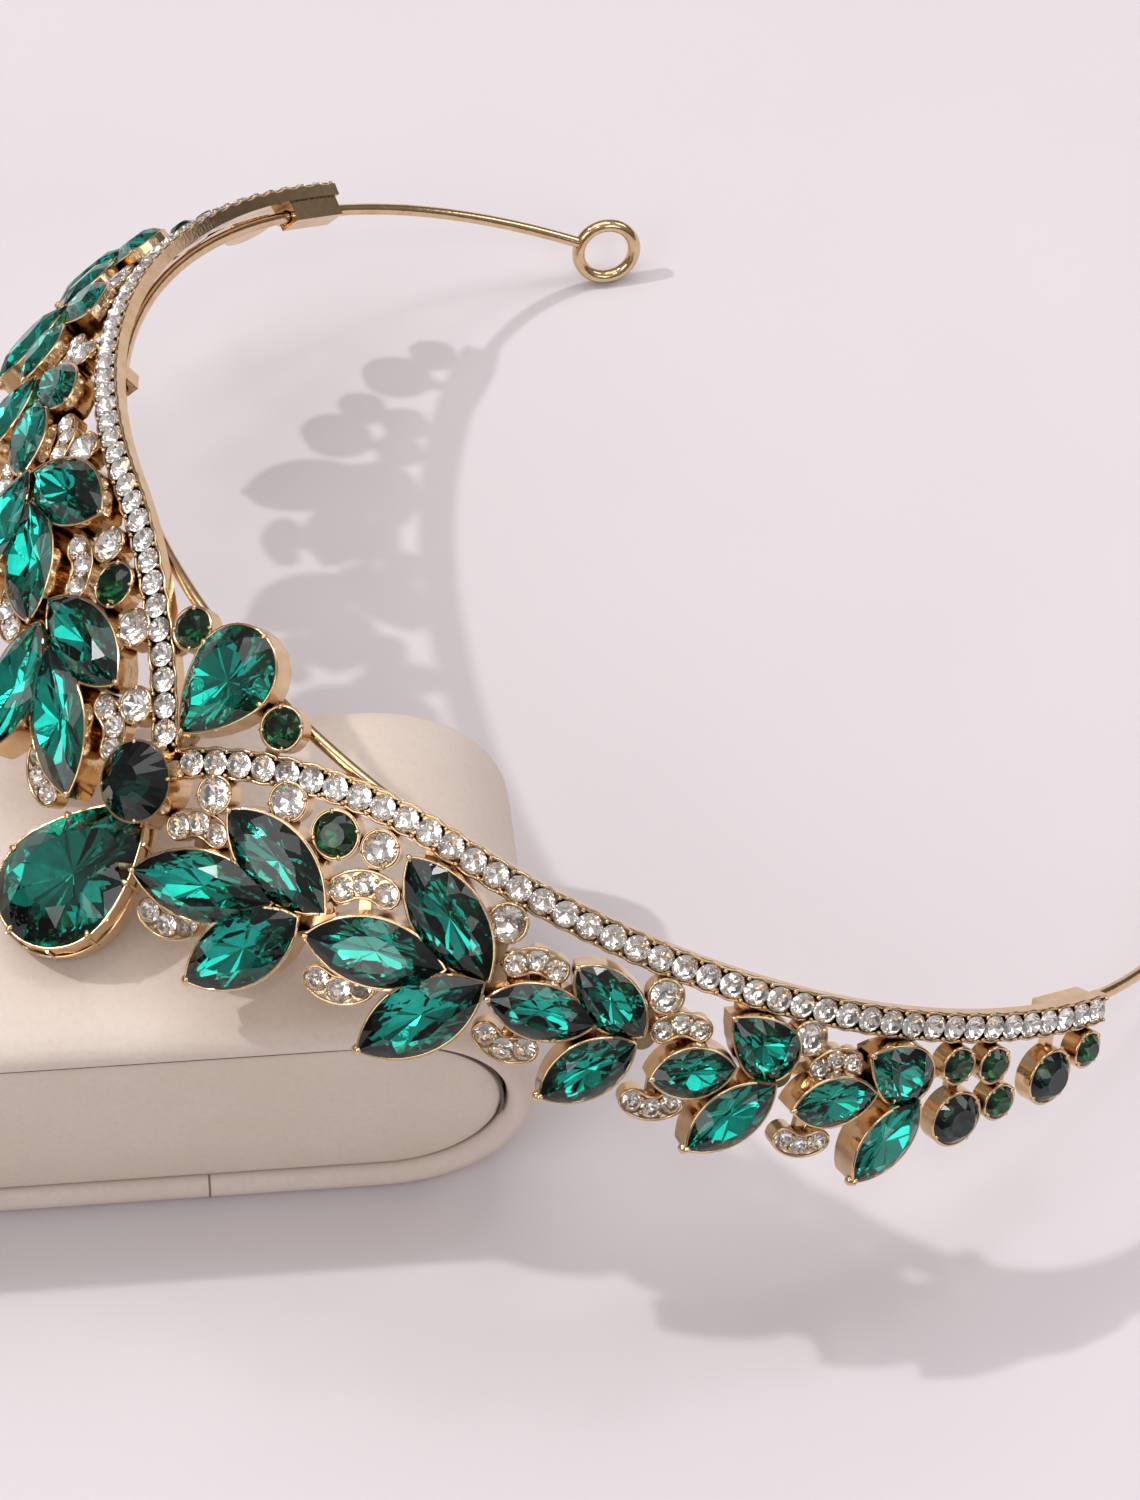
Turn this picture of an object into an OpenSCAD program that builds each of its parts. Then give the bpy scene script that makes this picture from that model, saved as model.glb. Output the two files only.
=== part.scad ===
// Rhinestone tiara lying upside down, its front propped on a padded display block.
// Every crest piece is placed by its flat pattern: u runs along the band away from
// the centre line, v runs across the crest away from the band wire, and h stands
// off the crest surface. The flat pattern bends round one upright circle, flares
// outward at the wire and curls back toward the tips.

/* [Band] */
// Radius of the band in plan
band_r = 72; // [70:1:75]
// Outward lean of the crest at the wire, in degrees
flare = 25; // [23:1:27]
// Loss of lean for each millimetre up the crest, in degrees
curl = 0.46; // [0.40:0.02:0.52]
// Thickness of the band wire
wire_d = 1.4; // [1.2:0.1:1.6]
// Length of wire on each side of the centre line
wire_reach = 154.2; // [151.2:0.5:155.2]
// Outer diameter of the loop at each wire end
loop_d = 8.8; // [8.4:0.2:9.4]
// Sideways lean of the loops, in degrees
loop_lean = -8; // [-12:1:-4]

/* [Stone rail] */
// Distance between neighbouring rail stones
rail_pitch = 2.8; // [2.75:0.05:2.85]
// Stones on each side of the centre line
rail_stones = 42; // [38:1:42]
// Diameter of a rail stone
rail_stone_d = 2.4; // [2.2:0.1:2.4]
// Width of the rail channel
rail_w = 3.4; // [3.4:0.1:3.6]
// Height of the straight rail's middle above the wire line
rail_v = 0.8; // [0.6:0.1:1.0]
// Radius of the flat-pattern arc by which the rail climbs to its peak
climb_r = 39.5; // [39:0.5:40]
// Place along the band where the climb starts
climb_u = 30; // [29:0.5:31]

/* [Settings] */
// Wall of a stone's cup
cup_wall = 0.45; // [0.4:0.05:0.5]
// Height of a leaf's cup
cup_h = 2.2; // [2.0:0.1:2.4]
// Gap between a stone and its cup
seat_gap = 0.15; // [0.12:0.01:0.18]
// Width of a rib between settings
rib_w = 1.3; // [1.2:0.1:1.5]

/* [Centre stones] */
// Length of the big pear
big_pear_l = 19.4; // [19:0.2:19.6]
// Width of the big pear
big_pear_w = 13.5; // [13.1:0.2:13.7]
// Forward tilt of the big pear from the crest surface, in degrees
big_pear_tilt = 25; // [23:1:26]
// Length of the low pear inside the peak
low_pear_l = 13.4; // [13:0.2:13.6]
// Width of the low pear
low_pear_w = 9.6; // [9.2:0.2:9.8]
// Diameter of the round stone at the peak
peak_round_d = 8.0; // [7.8:0.1:8.0]

/* [Resting pose] */
// Lean of the band plane to the table, in degrees
lean = 29.7; // [29.7:0.3:30.9]

/* [Display block] */
// Length of the block
block_l = 110; // [104:1:112]
// Depth of the block
block_d = 43.7; // [42.7:0.5:44.2]
// Height of the block
block_h = 35.2; // [34.2:0.2:35.2]
// Thickness of the wrap round the block's core
wrap_t = 4.2; // [3.4:0.2:4.6]
// Turn of the block on the table, in degrees
block_turn = 58; // [56:1:60]

/* [Hidden] */
$fa = 6;
$fs = 0.4;

side_names = ["left", "right"];

// Leaves: name, u and v of the middle, length, width, turn of the line from the
// outer tip to the cluster's node, rise off the crest
leaf_name = 0;
leaf_u = 1;
leaf_v = 2;
leaf_l = 3;
leaf_w = 4;
leaf_turn = 5;
leaf_rise = 6;
LEAVES = [
    ["a1", 11.8, 20.6, 16.6, 7.0, -28, 0.4],
    ["a2", 16.4, 13.1, 14.8, 7.0, 7, 0.0],
    ["a3", 18.7, 22.8, 14.6, 7.0, -65, 0.8],
    ["b1", 29.5, 14.5, 15.0, 6.8, -21, 0.4],
    ["b2", 34.0, 7.2, 15.0, 7.0, 26, 0.0],
    ["b3", 36.5, 17.6, 15.2, 7.0, -60, 0.8],
    ["c1", 46.4, 11.0, 11.2, 5.4, -13, 0.4],
    ["c2", 52.2, 6.9, 9.8, 5.4, 22, 0.0],
    ["c3", 53.0, 14.5, 11.2, 5.4, -55, 0.8],
    ["d1", 62.9, 10.8, 8.6, 5.0, -27, 0.4],
    ["d2", 68.7, 5.7, 8.6, 6.0, 25, 0.0],
    ["d3", 68.2, 14.1, 11.2, 5.4, -56, 0.8],
    ["e1", 78.5, 10.0, 9.2, 5.0, -21, 0.4],
    ["e2", 85.1, 5.8, 8.2, 6.2, 21, 0.0],
    ["e3", 85.7, 13.5, 10.6, 5.2, -65, 0.8]
];
// The two leaves nearest the rail at the thin end are short pears
PEAR_LEAVES = ["d2", "e2"];

// Nodes where the leaves of a cluster meet: u, v
NODES_OF_LEAVES = [[22.8, 15.0], [40.6, 10.6], [56.9, 9.4], [72.2, 8.9], [88.6, 8.2]];

// Crescents: u, v of the middle stone, turn of the bulge, stone diameter
CRESCENTS = [
    [7.2, 16.2, 240, 2.2], [10.6, 27.3, 66, 2.2],
    [24.9, 9.4, 242, 2.3], [28.4, 20.7, 64, 2.3],
    [43.8, 6.6, 250, 2.0], [44.9, 16.9, 84, 2.1],
    [60.2, 6.6, 248, 1.9], [60.9, 16.5, 74, 2.0],
    [77.9, 5.8, 250, 1.8], [77.3, 16.2, 84, 1.9]
];
// Angle between neighbouring stones of a crescent, and its radius per stone size
crescent_step = 38;
crescent_r = 1.75;

// Single clear rounds between the rail and the leaves: u, v, diameter
CLEAR_ROUNDS = [
    [6.7, 12.6, 3.2], [13.4, 7.6, 3.4], [24.2, 5.3, 3.2],
    [39.3, 4.5, 3.4], [57.4, 4.3, 3.0], [74.0, 4.0, 3.0]
];
// Small green rounds: u, v, diameter
GREEN_ROUNDS = [
    [7.9, 2.2, 4.0], [19.5, 7.0, 4.4],
    [93.2, 5.0, 3.4], [98.2, 5.0, 3.4], [100.3, 9.5, 3.4], [113.0, 5.0, 3.4],
    [94.9, 11.3, 5.6], [107.3, 7.3, 5.6]
];
// Ribs of the casting between two flat-pattern places: u and v of each end
RIBS = [
    [0, 8.5, 0, 14], [7.7, 3.6, 8.8, 7.0], [6.4, 9.2, 6.8, 16],
    [13.2, 4.6, 15.0, 11.5], [19.4, 2.4, 20.0, 12.0], [24.2, 1.4, 24.7, 9.0],
    [23.0, 11.0, 23.0, 15.0], [28.4, 1.4, 29.4, 5.0], [39.2, 1.4, 40.4, 10.4],
    [41.0, 10.4, 43.4, 7.0], [57.4, 1.4, 57.0, 9.2], [57.3, 9.2, 60.0, 7.0],
    [65.4, 1.4, 66.6, 5.0], [74.0, 1.4, 72.6, 8.8], [73.0, 8.6, 77.6, 6.2],
    [85.0, 1.4, 85.4, 4.6], [88.6, 8.0, 93.2, 5.0], [93.2, 1.4, 93.2, 5.0],
    [93.6, 5.6, 94.8, 11.0], [98.2, 1.4, 98.2, 5.0], [98.4, 5.6, 100.2, 9.3],
    [107.2, 1.4, 107.3, 6.6], [113.0, 1.4, 113.0, 4.6]
];
// Prong balls at the outer tips of the third leaves
tip_ball_d = 1.3;
TIP_BALL_LEAVES = ["a3", "b3", "c3", "d3", "e3"];

// Heights off the crest surface
back_h = -0.9;
rib_top = 0.1;
rail_floor_h = -0.3;
rail_top_h = 0.6;
rail_first_s = 3.4;
groove_w = rail_stone_d + 0.3;
plate_top = 1.0;
pocket_reach = 6;
small_cup_top = 1.2;
floor_t = 0.5;
peak_round_v = 17.3;
round_cup_top = 3.4;
big_pear_v = 29.7;
big_pear_h = 2.0;
big_pear_cup = 4.0;
big_pear_lip = 0.2;
pear_pocket_over = 0.5;
pear_post_w = 3.6;
low_pear_v = 3.3;
rail_end_wall = 0.5;
wire_h = -2.2;
wire_v = 1.0;
bracket_gap = 0.15;

// Brackets that hold the wire: u of the middle, length
BRACKETS = [[52, 2.6], [111.4, 8.0]];

// Rest on the block and on the two loops
loop_wire_d = wire_d + 0.2;
loop_clear = 0.05;
centre_y = -8.70;
block_place = [-5.1, -25.8];
panel_inset = 2.0;
wrap_gap = 0.3;

function radians(a) = a * PI / 180;
function degrees(a) = a * 180 / PI;
function bend(u) = degrees(u / band_r);
function lean_at(v) = flare - curl * max(v, 0);
function out_at(v) = v <= 0 ? v * sin(flare) : (cos(lean_at(v)) - cos(flare)) / radians(curl);
function up_at(v) = v <= 0 ? v * cos(flare) : (sin(flare) - sin(lean_at(v))) / radians(curl);

// Arc angle of the climb at distance s from the centre line, along the rail
peak_turn = asin(climb_u / climb_r);
function climb_turn(s) = max(peak_turn - degrees(s / climb_r), 0);
climb_total = climb_r * radians(peak_turn);
function rail_u(s) = s < climb_total
    ? climb_u - climb_r * sin(climb_turn(s))
    : climb_u + s - climb_total;
function rail_v_at(s) = rail_v + climb_r * (1 - cos(climb_turn(s)));
function rail_s(i) = rail_first_s + i * rail_pitch;
rail_end_u = rail_u(rail_s(rail_stones - 1)) + 0.6 * rail_pitch;

// The climb is an arc ring, driven along the crest's normal half way up the climb
function crest_point(u, v, h) = [
    (band_r + out_at(v) + h * cos(lean_at(v))) * sin(bend(u)),
    band_r - (band_r + out_at(v) + h * cos(lean_at(v))) * cos(bend(u)),
    up_at(v) - h * sin(lean_at(v))
];
climb_mid_s = climb_total / 2;
climb_mid_u = rail_u(climb_mid_s);
climb_mid_v = rail_v_at(climb_mid_s);
climb_mid = crest_point(climb_mid_u, climb_mid_v, 0);
climb_along = [cos(bend(climb_mid_u)), sin(bend(climb_mid_u)), 0];
climb_out = crest_point(climb_mid_u, climb_mid_v, 1) - climb_mid;
climb_up = cross(climb_out, climb_along);
function seen_at(s) =
    let (p = crest_point(rail_u(s), rail_v_at(s), rail_top_h) - climb_mid)
    [p * climb_along, p * climb_up];
function circle_centre(a, b, c) =
    let (
        p = b - a,
        q = c - a,
        d = 2 * (p[0] * q[1] - p[1] * q[0]),
        pp = p * p,
        qq = q * q
    )
    a + [q[1] * pp - p[1] * qq, p[0] * qq - q[0] * pp] / d;
climb_centre = circle_centre(seen_at(0), seen_at(climb_mid_s), seen_at(climb_total));
climb_ring_r = norm(seen_at(0) - climb_centre);

// Height of the wire line's front, such that the loops' lowest points clear the table
loop_bend = bend(wire_reach);
loop_ring_r = loop_d / 2 - loop_wire_d / 2;
loop_y = band_r + sin(loop_bend) * loop_ring_r - cos(loop_bend) * wire_run_r();
loop_along_z = -sin(lean) * sin(loop_bend);
loop_across_z = sin(loop_lean) * sin(lean) * cos(loop_bend) - cos(loop_lean) * cos(lean);
loop_drop = loop_ring_r * norm([loop_along_z, loop_across_z]) + loop_wire_d / 2;
front_z = loop_clear + loop_drop + sin(lean) * loop_y + cos(lean) * wire_run_z();

// Point list of a leaf outline, pointed at both ends, with m steps along each side
function leaf_arc_r(l, w) = (l * l + w * w) / (4 * w);
function leaf_outline(l, w, m) =
    let (r = leaf_arc_r(l, w), a = asin(l / 2 / r), drop = r - w / 2)
    concat(
        [for (i = [0:m - 1]) let (t = 90 - a + 2 * a * i / m) [r * cos(t), r * sin(t) - drop]],
        [for (i = [0:m - 1]) let (t = 270 - a + 2 * a * i / m) [r * cos(t), r * sin(t) + drop]]
    );

// Point list of a pear outline, its tip at -x, with k steps round a quarter of the
// round end and m steps along a side
function pear_outline(l, w, k, m) =
    let (
        r = w / 2,
        reach = l - r,
        side_r = 1.05 * l,
        along = (reach * reach + r * r - 2 * side_r * r) / (2 * reach),
        off = sqrt((side_r - r) * (side_r - r) - along * along),
        round_x = l / 2 - r,
        joint = atan2(off, along),
        arc_x = round_x - along,
        tip = atan2(off, -l / 2 - arc_x),
        top = concat(
            [for (i = [1:k]) let (t = joint * i / k) [round_x + r * cos(t), r * sin(t)]],
            [for (i = [1:m - 1]) let (t = joint + (tip - joint) * i / m)
                [arc_x + side_r * cos(t), side_r * sin(t) - off]]
        ),
        n = len(top)
    )
    concat(
        [[l / 2, 0]], top, [[-l / 2, 0]],
        [for (i = [n - 1:-1:0]) [top[i][0], -top[i][1]]]
    );

function round_outline(d, n) = [for (i = [0:n - 1]) d / 2 * [cos(360 * i / n), sin(360 * i / n)]];

// Puts its children on the crest at u, v, turned in the crest surface
module on_crest(u, v, h = 0, turn = 0) {
    translate([0, band_r, 0])
        rotate([0, 0, bend(u)])
            translate([0, -band_r - out_at(v), up_at(v)])
                rotate([90 + lean_at(v), 0, 0])
                    rotate([0, 0, turn])
                        translate([0, 0, h])
                            children();
}

// Turns the crown over, leans it and sets it on the table
module laid() {
    translate([0, centre_y, front_z])
        rotate([180 + lean, 0, 180])
            children();
}

// Mirrors its children to one side of the centre line
module to_side(side) {
    mirror([side == "right" ? 1 : 0, 0, 0])
        children();
}

// A cut stone: a flat table, a ring of crown facets and a pointed pavilion
module cut_stone(outline, crown, pavilion, table = 0.58) {
    n = len(outline);
    points = concat(
        [for (p = outline) [table * p[0], table * p[1], crown]],
        [for (p = outline) [p[0], p[1], 0]],
        [[0, 0, -pavilion]]
    );
    faces = concat(
        [[for (i = [n - 1:-1:0]) i]],
        [for (i = [0:n - 1]) [i, (i + 1) % n, n + (i + 1) % n, n + i]],
        [for (i = [0:n - 1]) [n + i, n + (i + 1) % n, 2 * n]]
    );
    polyhedron(points, faces);
}

module leaf_shape(l, w) {
    r = leaf_arc_r(l, w);
    intersection() {
        translate([0, w / 2 - r]) circle(r, $fn = 90);
        translate([0, r - w / 2]) circle(r, $fn = 90);
    }
}

module pear_shape(l, w) {
    polygon(pear_outline(l, w, 5, 4));
}

function is_in(name, names) = len([for (other = names) if (other == name) name]) > 0;
function is_pear(row) = is_in(row[leaf_name], PEAR_LEAVES);

// A leaf's outline grown by g all round
module leaf_area(row, g) {
    if (is_pear(row)) pear_shape(row[leaf_l] + 2 * g, row[leaf_w] + 2 * g);
    else leaf_shape(row[leaf_l] + 2 * g, row[leaf_w] + 2 * g);
}

// A setting's block, from the crest's back up to the cup's rim
module setting(top) {
    translate([0, 0, back_h]) linear_extrude(top - back_h) children();
}

// The hollow of a setting, from its floor up past anything above it
module pocket(floor_h) {
    translate([0, 0, floor_h]) linear_extrude(pocket_reach) children();
}

module leaf_setting(row) {
    on_crest(row[leaf_u], row[leaf_v], 0, row[leaf_turn]) {
        setting(row[leaf_rise] + cup_h) leaf_area(row, cup_wall + seat_gap);
        if (is_in(row[leaf_name], TIP_BALL_LEAVES))
            translate([-row[leaf_l] / 2 - cup_wall, 0, row[leaf_rise] + cup_h - tip_ball_d / 2])
                sphere(d = tip_ball_d, $fn = 24);
    }
}

module leaf_pocket(row) {
    on_crest(row[leaf_u], row[leaf_v], 0, row[leaf_turn])
        pocket(row[leaf_rise] + back_h + floor_t) leaf_area(row, seat_gap);
}

module leaf_stone(row) {
    l = row[leaf_l];
    w = row[leaf_w];
    outline = is_pear(row) ? pear_outline(l, w, 3, 3) : leaf_outline(l, w, 6);
    on_crest(row[leaf_u], row[leaf_v], row[leaf_rise] + cup_h - 0.2, row[leaf_turn])
        cut_stone(outline, 0.19 * w, 0.26 * w);
}

module round_setting(u, v, d, top) {
    on_crest(u, v) setting(top) circle(d / 2 + seat_gap + cup_wall, $fn = 48);
}

module round_pocket(u, v, d) {
    on_crest(u, v) pocket(back_h + floor_t) circle(d / 2 + seat_gap, $fn = 48);
}

module round_stone(u, v, d, top, facets) {
    on_crest(u, v, top - 0.1)
        cut_stone(round_outline(d, facets), 0.2 * d, min(0.36 * d, top + 0.2), 0.55);
}

// Places of a crescent's three stones
function crescent_places(row) =
    let (r = crescent_r * row[3], turn = row[2])
    [for (k = [-1:1]) [
        row[0] + r * (cos(turn + k * crescent_step) - cos(turn)),
        row[1] + r * (sin(turn + k * crescent_step) - sin(turn))
    ]];

function crescent_spots(row) = [for (p = crescent_places(row)) [p[0] - row[0], p[1] - row[1]]];

// A crescent plate with a tongue that runs under its leaf
module crescent(row) {
    d = row[3];
    tongue = 0.9 * d + 1.4;
    on_crest(row[0], row[1]) {
        setting(plate_top)
            union() {
                for (p = crescent_spots(row)) translate(p) circle(d / 2 + 0.5, $fn = 32);
                crescent_web(row, 1.0);
            }
        rotate([0, 0, row[2] + 180])
            translate([0, -rib_w / 2, back_h]) cube([tongue, rib_w, rib_top - back_h]);
    }
}

module crescent_pockets(row) {
    on_crest(row[0], row[1])
        pocket(rib_top)
            for (p = crescent_spots(row)) translate(p) circle(row[3] / 2 + 0.12, $fn = 32);
}

// Straight webs between a crescent's neighbouring seats
module crescent_web(row, half_w) {
    spots = crescent_spots(row);
    for (k = [0:1]) {
        a = spots[k];
        b = spots[k + 1];
        translate((a + b) / 2)
            rotate(atan2(b[1] - a[1], b[0] - a[0]))
                square([norm(b - a), 2 * half_w], center = true);
    }
}

// A straight rib of the casting between two places of the flat pattern
module rib(row) {
    du = row[2] - row[0];
    dv = row[3] - row[1];
    on_crest((row[0] + row[2]) / 2, (row[1] + row[3]) / 2, back_h, atan2(dv, du))
        translate([-norm([du, dv]) / 2, -rib_w / 2, 0])
            cube([norm([du, dv]), rib_w, rib_top - back_h]);
}

// A strip of the level rail: w wide, between two heights off the crest
module level_strip(w, h0, h1, last_u) {
    first = climb_u - 0.4;
    translate([0, band_r, 0])
        rotate([0, 0, bend(first) - 90])
            rotate_extrude(angle = bend(last_u - first), $fn = 180)
                translate([band_r + out_at(rail_v), up_at(rail_v)])
                    rotate(-lean_at(rail_v))
                        translate([h0, -w / 2])
                            square([h1 - h0, w]);
}

// A slab of one side of the crest between two heights off its surface, out to v_top
module crest_slab(h0, h1, v_top, angle) {
    steps = 3;
    v0 = -2;
    places = [for (i = [0:steps]) v0 + (v_top - v0) * i / steps];
    function edge(v, h) = [
        band_r + out_at(v) + h * cos(lean_at(v)),
        up_at(v) - h * sin(lean_at(v))
    ];
    translate([0, band_r, 0])
        rotate([0, 0, -90])
            rotate_extrude(angle = angle, $fn = 180)
                polygon(concat(
                    [for (v = places) edge(v, h1)],
                    [for (i = [steps:-1:0]) edge(places[i], h0)]
                ));
}

// One side of the rail that climbs to the peak, w wide
module climbing_strip(w, h0, h1) {
    intersection() {
        crest_slab(h0, h1, 20, bend(climb_u));
        on_crest(climb_mid_u, climb_mid_v, -10)
            translate(climb_centre)
                linear_extrude(20)
                    difference() {
                        circle(climb_ring_r + w / 2, $fn = 180);
                        circle(climb_ring_r - w / 2, $fn = 180);
                    }
    }
}

// Tube along the wire's path, from one end angle to the other
module wire_tube(d, from_u, to_u) {
    translate([0, band_r, 0])
        rotate([0, 0, bend(from_u) - 90])
            rotate_extrude(angle = bend(to_u - from_u), $fn = 180)
                translate([wire_run_r(), wire_run_z()])
                    circle(d / 2, $fn = 24);
}

function wire_run_r() = band_r + out_at(wire_v) + wire_h * cos(lean_at(wire_v));
function wire_run_z() = up_at(wire_v) - wire_h * sin(lean_at(wire_v));

// A bracket that joins the rail's back and folds round the wire
module bracket(row) {
    half = row[1] / 2;
    box_h = back_h - wire_h + wire_d / 2 + bracket_gap + 0.6;
    difference() {
        on_crest(row[0], wire_v)
            translate([-half, -1.5, back_h - box_h + 0.2])
                cube([row[1], 3.0, box_h + 0.2]);
        wire_tube(wire_d + 2 * bracket_gap, row[0] - half - 2, row[0] + half + 2);
    }
}

// One half of the casting before its pockets are cut, from the centre line outward
module casting_half() {
    level_strip(rail_w, back_h, rail_top_h, rail_end_u);
    for (row = LEAVES) leaf_setting(row);
    for (row = CRESCENTS) crescent(row);
    for (row = CLEAR_ROUNDS) round_setting(row[0], row[1], row[2], small_cup_top);
    for (row = GREEN_ROUNDS) round_setting(row[0], row[1], row[2], small_cup_top);
    for (row = RIBS) rib(row);
    for (row = BRACKETS) bracket(row);
    for (p = NODES_OF_LEAVES)
        on_crest(p[0], p[1], back_h) cylinder(h = 1.5, d = 3.2, $fn = 32);
    climbing_strip(rail_w, back_h, rail_top_h);
}

// Every hollow of one half: the rail's groove and the stones' pockets
module half_pockets() {
    level_strip(groove_w, rail_floor_h, pocket_reach, rail_end_u - rail_end_wall);
    climbing_groove();
    for (row = LEAVES) leaf_pocket(row);
    for (row = CRESCENTS) crescent_pockets(row);
    for (row = CLEAR_ROUNDS) round_pocket(row[0], row[1], row[2]);
    for (row = GREEN_ROUNDS) round_pocket(row[0], row[1], row[2]);
}

module big_pear_area(g) {
    pear_shape(big_pear_l + 2 * g, big_pear_w + 2 * g);
}

module low_pear_area(g) {
    pear_shape(low_pear_l + 2 * g, low_pear_w + 2 * g);
}

// Places its children on the tilted plane of the big pear's girdle, its tip at -x
module on_pear_plane() {
    on_crest(0, big_pear_v, big_pear_h)
        rotate([big_pear_tilt, 0, 0])
            rotate([0, 0, 90])
                children();
}

// A post that joins the big pear's tilted cup to the back of the peak stone's cup
module pear_post() {
    on_crest(0, peak_round_v + 3.2, back_h - pear_post_w)
        translate([-pear_post_w / 2, -pear_post_w / 2, 0])
            cube([pear_post_w, pear_post_w, 4]);
}

module big_pear_setting() {
    pear_post();
    on_pear_plane()
        translate([0, 0, big_pear_lip - big_pear_cup])
            linear_extrude(big_pear_cup)
                big_pear_area(cup_wall + seat_gap);
}

// The big pear's pocket, cut up past the girdle where the peak stone's cup hangs over its tip
module big_pear_pocket() {
    floor_z = big_pear_lip - big_pear_cup + floor_t;
    on_pear_plane()
        translate([0, 0, floor_z])
            linear_extrude(big_pear_cup + pear_pocket_over)
                big_pear_area(seat_gap);
}

module centre_settings() {
    big_pear_setting();
    on_crest(0, low_pear_v, 0, -90) setting(cup_h) low_pear_area(cup_wall + seat_gap);
    round_setting(0, peak_round_v, peak_round_d, round_cup_top);
}

module centre_pockets() {
    big_pear_pocket();
    on_crest(0, low_pear_v, 0, -90) pocket(back_h + floor_t) low_pear_area(seat_gap);
    round_pocket(0, peak_round_v, peak_round_d);
}

// The climbing rail's groove, which stops short of the peak stone's cup
module climbing_groove() {
    difference() {
        climbing_strip(groove_w, rail_floor_h, pocket_reach);
        round_setting(0, peak_round_v, peak_round_d, pocket_reach + 1);
    }
}

// The gilt casting: rail, cups, crescents, ribs and brackets in one piece
module crest_casting() {
    color("goldenrod") laid()
        difference() {
            union() {
                casting_half();
                mirror([1, 0, 0]) casting_half();
                centre_settings();
            }
            half_pockets();
            mirror([1, 0, 0]) half_pockets();
            centre_pockets();
        }
}

// The loop at the wire's end
module end_loop() {
    translate([0, band_r, 0])
        rotate([0, 0, loop_bend])
            translate([0, -wire_run_r(), wire_run_z()])
                rotate([90 + loop_lean, 0, 0])
                    translate([loop_ring_r, 0, 0])
                        rotate_extrude($fn = 60)
                            translate([loop_ring_r, 0])
                                circle(loop_wire_d / 2, $fn = 20);
}

// The band wire with a loop at each end
module band_wire() {
    color("gold") laid() {
        wire_tube(wire_d, -wire_reach - 0.3, wire_reach + 0.3);
        end_loop();
        mirror([1, 0, 0]) end_loop();
    }
}

module leaf_stone_node(row, side) {
    color("seagreen") laid() to_side(side) leaf_stone(row);
}

module big_pear_stone() {
    color("darkgreen") laid()
        on_pear_plane()
            cut_stone(pear_outline(big_pear_l, big_pear_w, 5, 4), 2.4, 2.4, 0.6);
}

module low_pear_stone() {
    color("seagreen") laid()
        on_crest(0, low_pear_v, cup_h - 0.2, -90)
            cut_stone(pear_outline(low_pear_l, low_pear_w, 4, 4), 1.9, 2.2, 0.6);
}

module peak_round_stone() {
    color("darkgreen") laid()
        round_stone(0, peak_round_v, peak_round_d, round_cup_top, 12);
}

module rail_pave(side) {
    color("white") laid() to_side(side)
        for (i = [0:rail_stones - 1]) {
            s = rail_s(i);
            on_crest(rail_u(s), rail_v_at(s), rail_top_h, -climb_turn(s))
                cut_stone(round_outline(rail_stone_d, 8), 0.5, 0.8, 0.55);
        }
}

module crescent_stones(side) {
    color("white") laid() to_side(side)
        for (row = CRESCENTS)
            for (p = crescent_spots(row))
                on_crest(row[0], row[1], plate_top)
                    translate(p)
                        cut_stone(round_outline(row[3], 8), 0.45, 0.7, 0.55);
}

module clear_rounds(side) {
    color("white") laid() to_side(side)
        for (row = CLEAR_ROUNDS) round_stone(row[0], row[1], row[2], small_cup_top, 10);
}

module green_rounds(side) {
    color("green") laid() to_side(side)
        for (row = GREEN_ROUNDS) round_stone(row[0], row[1], row[2], small_cup_top, 10);
}

// Upright outline of the block, round at both ends, grown by g
module block_outline(g) {
    r = block_h / 2 + g;
    half = block_l / 2 - block_h / 2;
    union() {
        for (x = [-half, half]) translate([x, 0]) circle(r, $fn = 96);
        square([2 * half, 2 * r], center = true);
    }
}

module block_stand() {
    translate([block_place[0], block_place[1] + centre_y, block_h / 2])
        rotate([0, 0, block_turn])
            rotate([90, 0, 0])
                children();
}

// The wrap: a band of padded leather all round the core, with open ends
module block_wrap() {
    color("bisque") block_stand()
        translate([0, 0, -block_d / 2])
            linear_extrude(block_d)
                difference() {
                    block_outline(0);
                    block_outline(-wrap_t);
                }
}

// The core, whose flat ends sit a little inside the wrap
module block_core() {
    depth = block_d - 2 * panel_inset;
    color("antiquewhite") block_stand()
        translate([0, 0, -depth / 2])
            linear_extrude(depth)
                block_outline(-wrap_t - wrap_gap);
}

function leaf_node(row, side) = str("leaf_", row[leaf_name], "_", side);
FIELD_NODES = ["rail_pave", "crescent_stones", "clear_rounds", "green_rounds"];

crest_casting();
band_wire();
big_pear_stone();
low_pear_stone();
peak_round_stone();
block_wrap();
block_core();
for (side = side_names) {
    rail_pave(side);
    crescent_stones(side);
    clear_rounds(side);
    green_rounds(side);
    for (row = LEAVES)
        leaf_stone_node(row, side);
}
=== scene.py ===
"""Looks of a rhinestone tiara that lies upside down, its front propped on a padded block.

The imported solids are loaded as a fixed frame. Cut stones, grain work, rims and the padded
block are built over them, in the same places, and every surface gets its finish.
"""

from __future__ import annotations

import logging
import math
from collections.abc import Iterable, Sequence
from dataclasses import dataclass, field, replace
from enum import Enum

import bpy
from mathutils import Matrix, Vector


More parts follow.
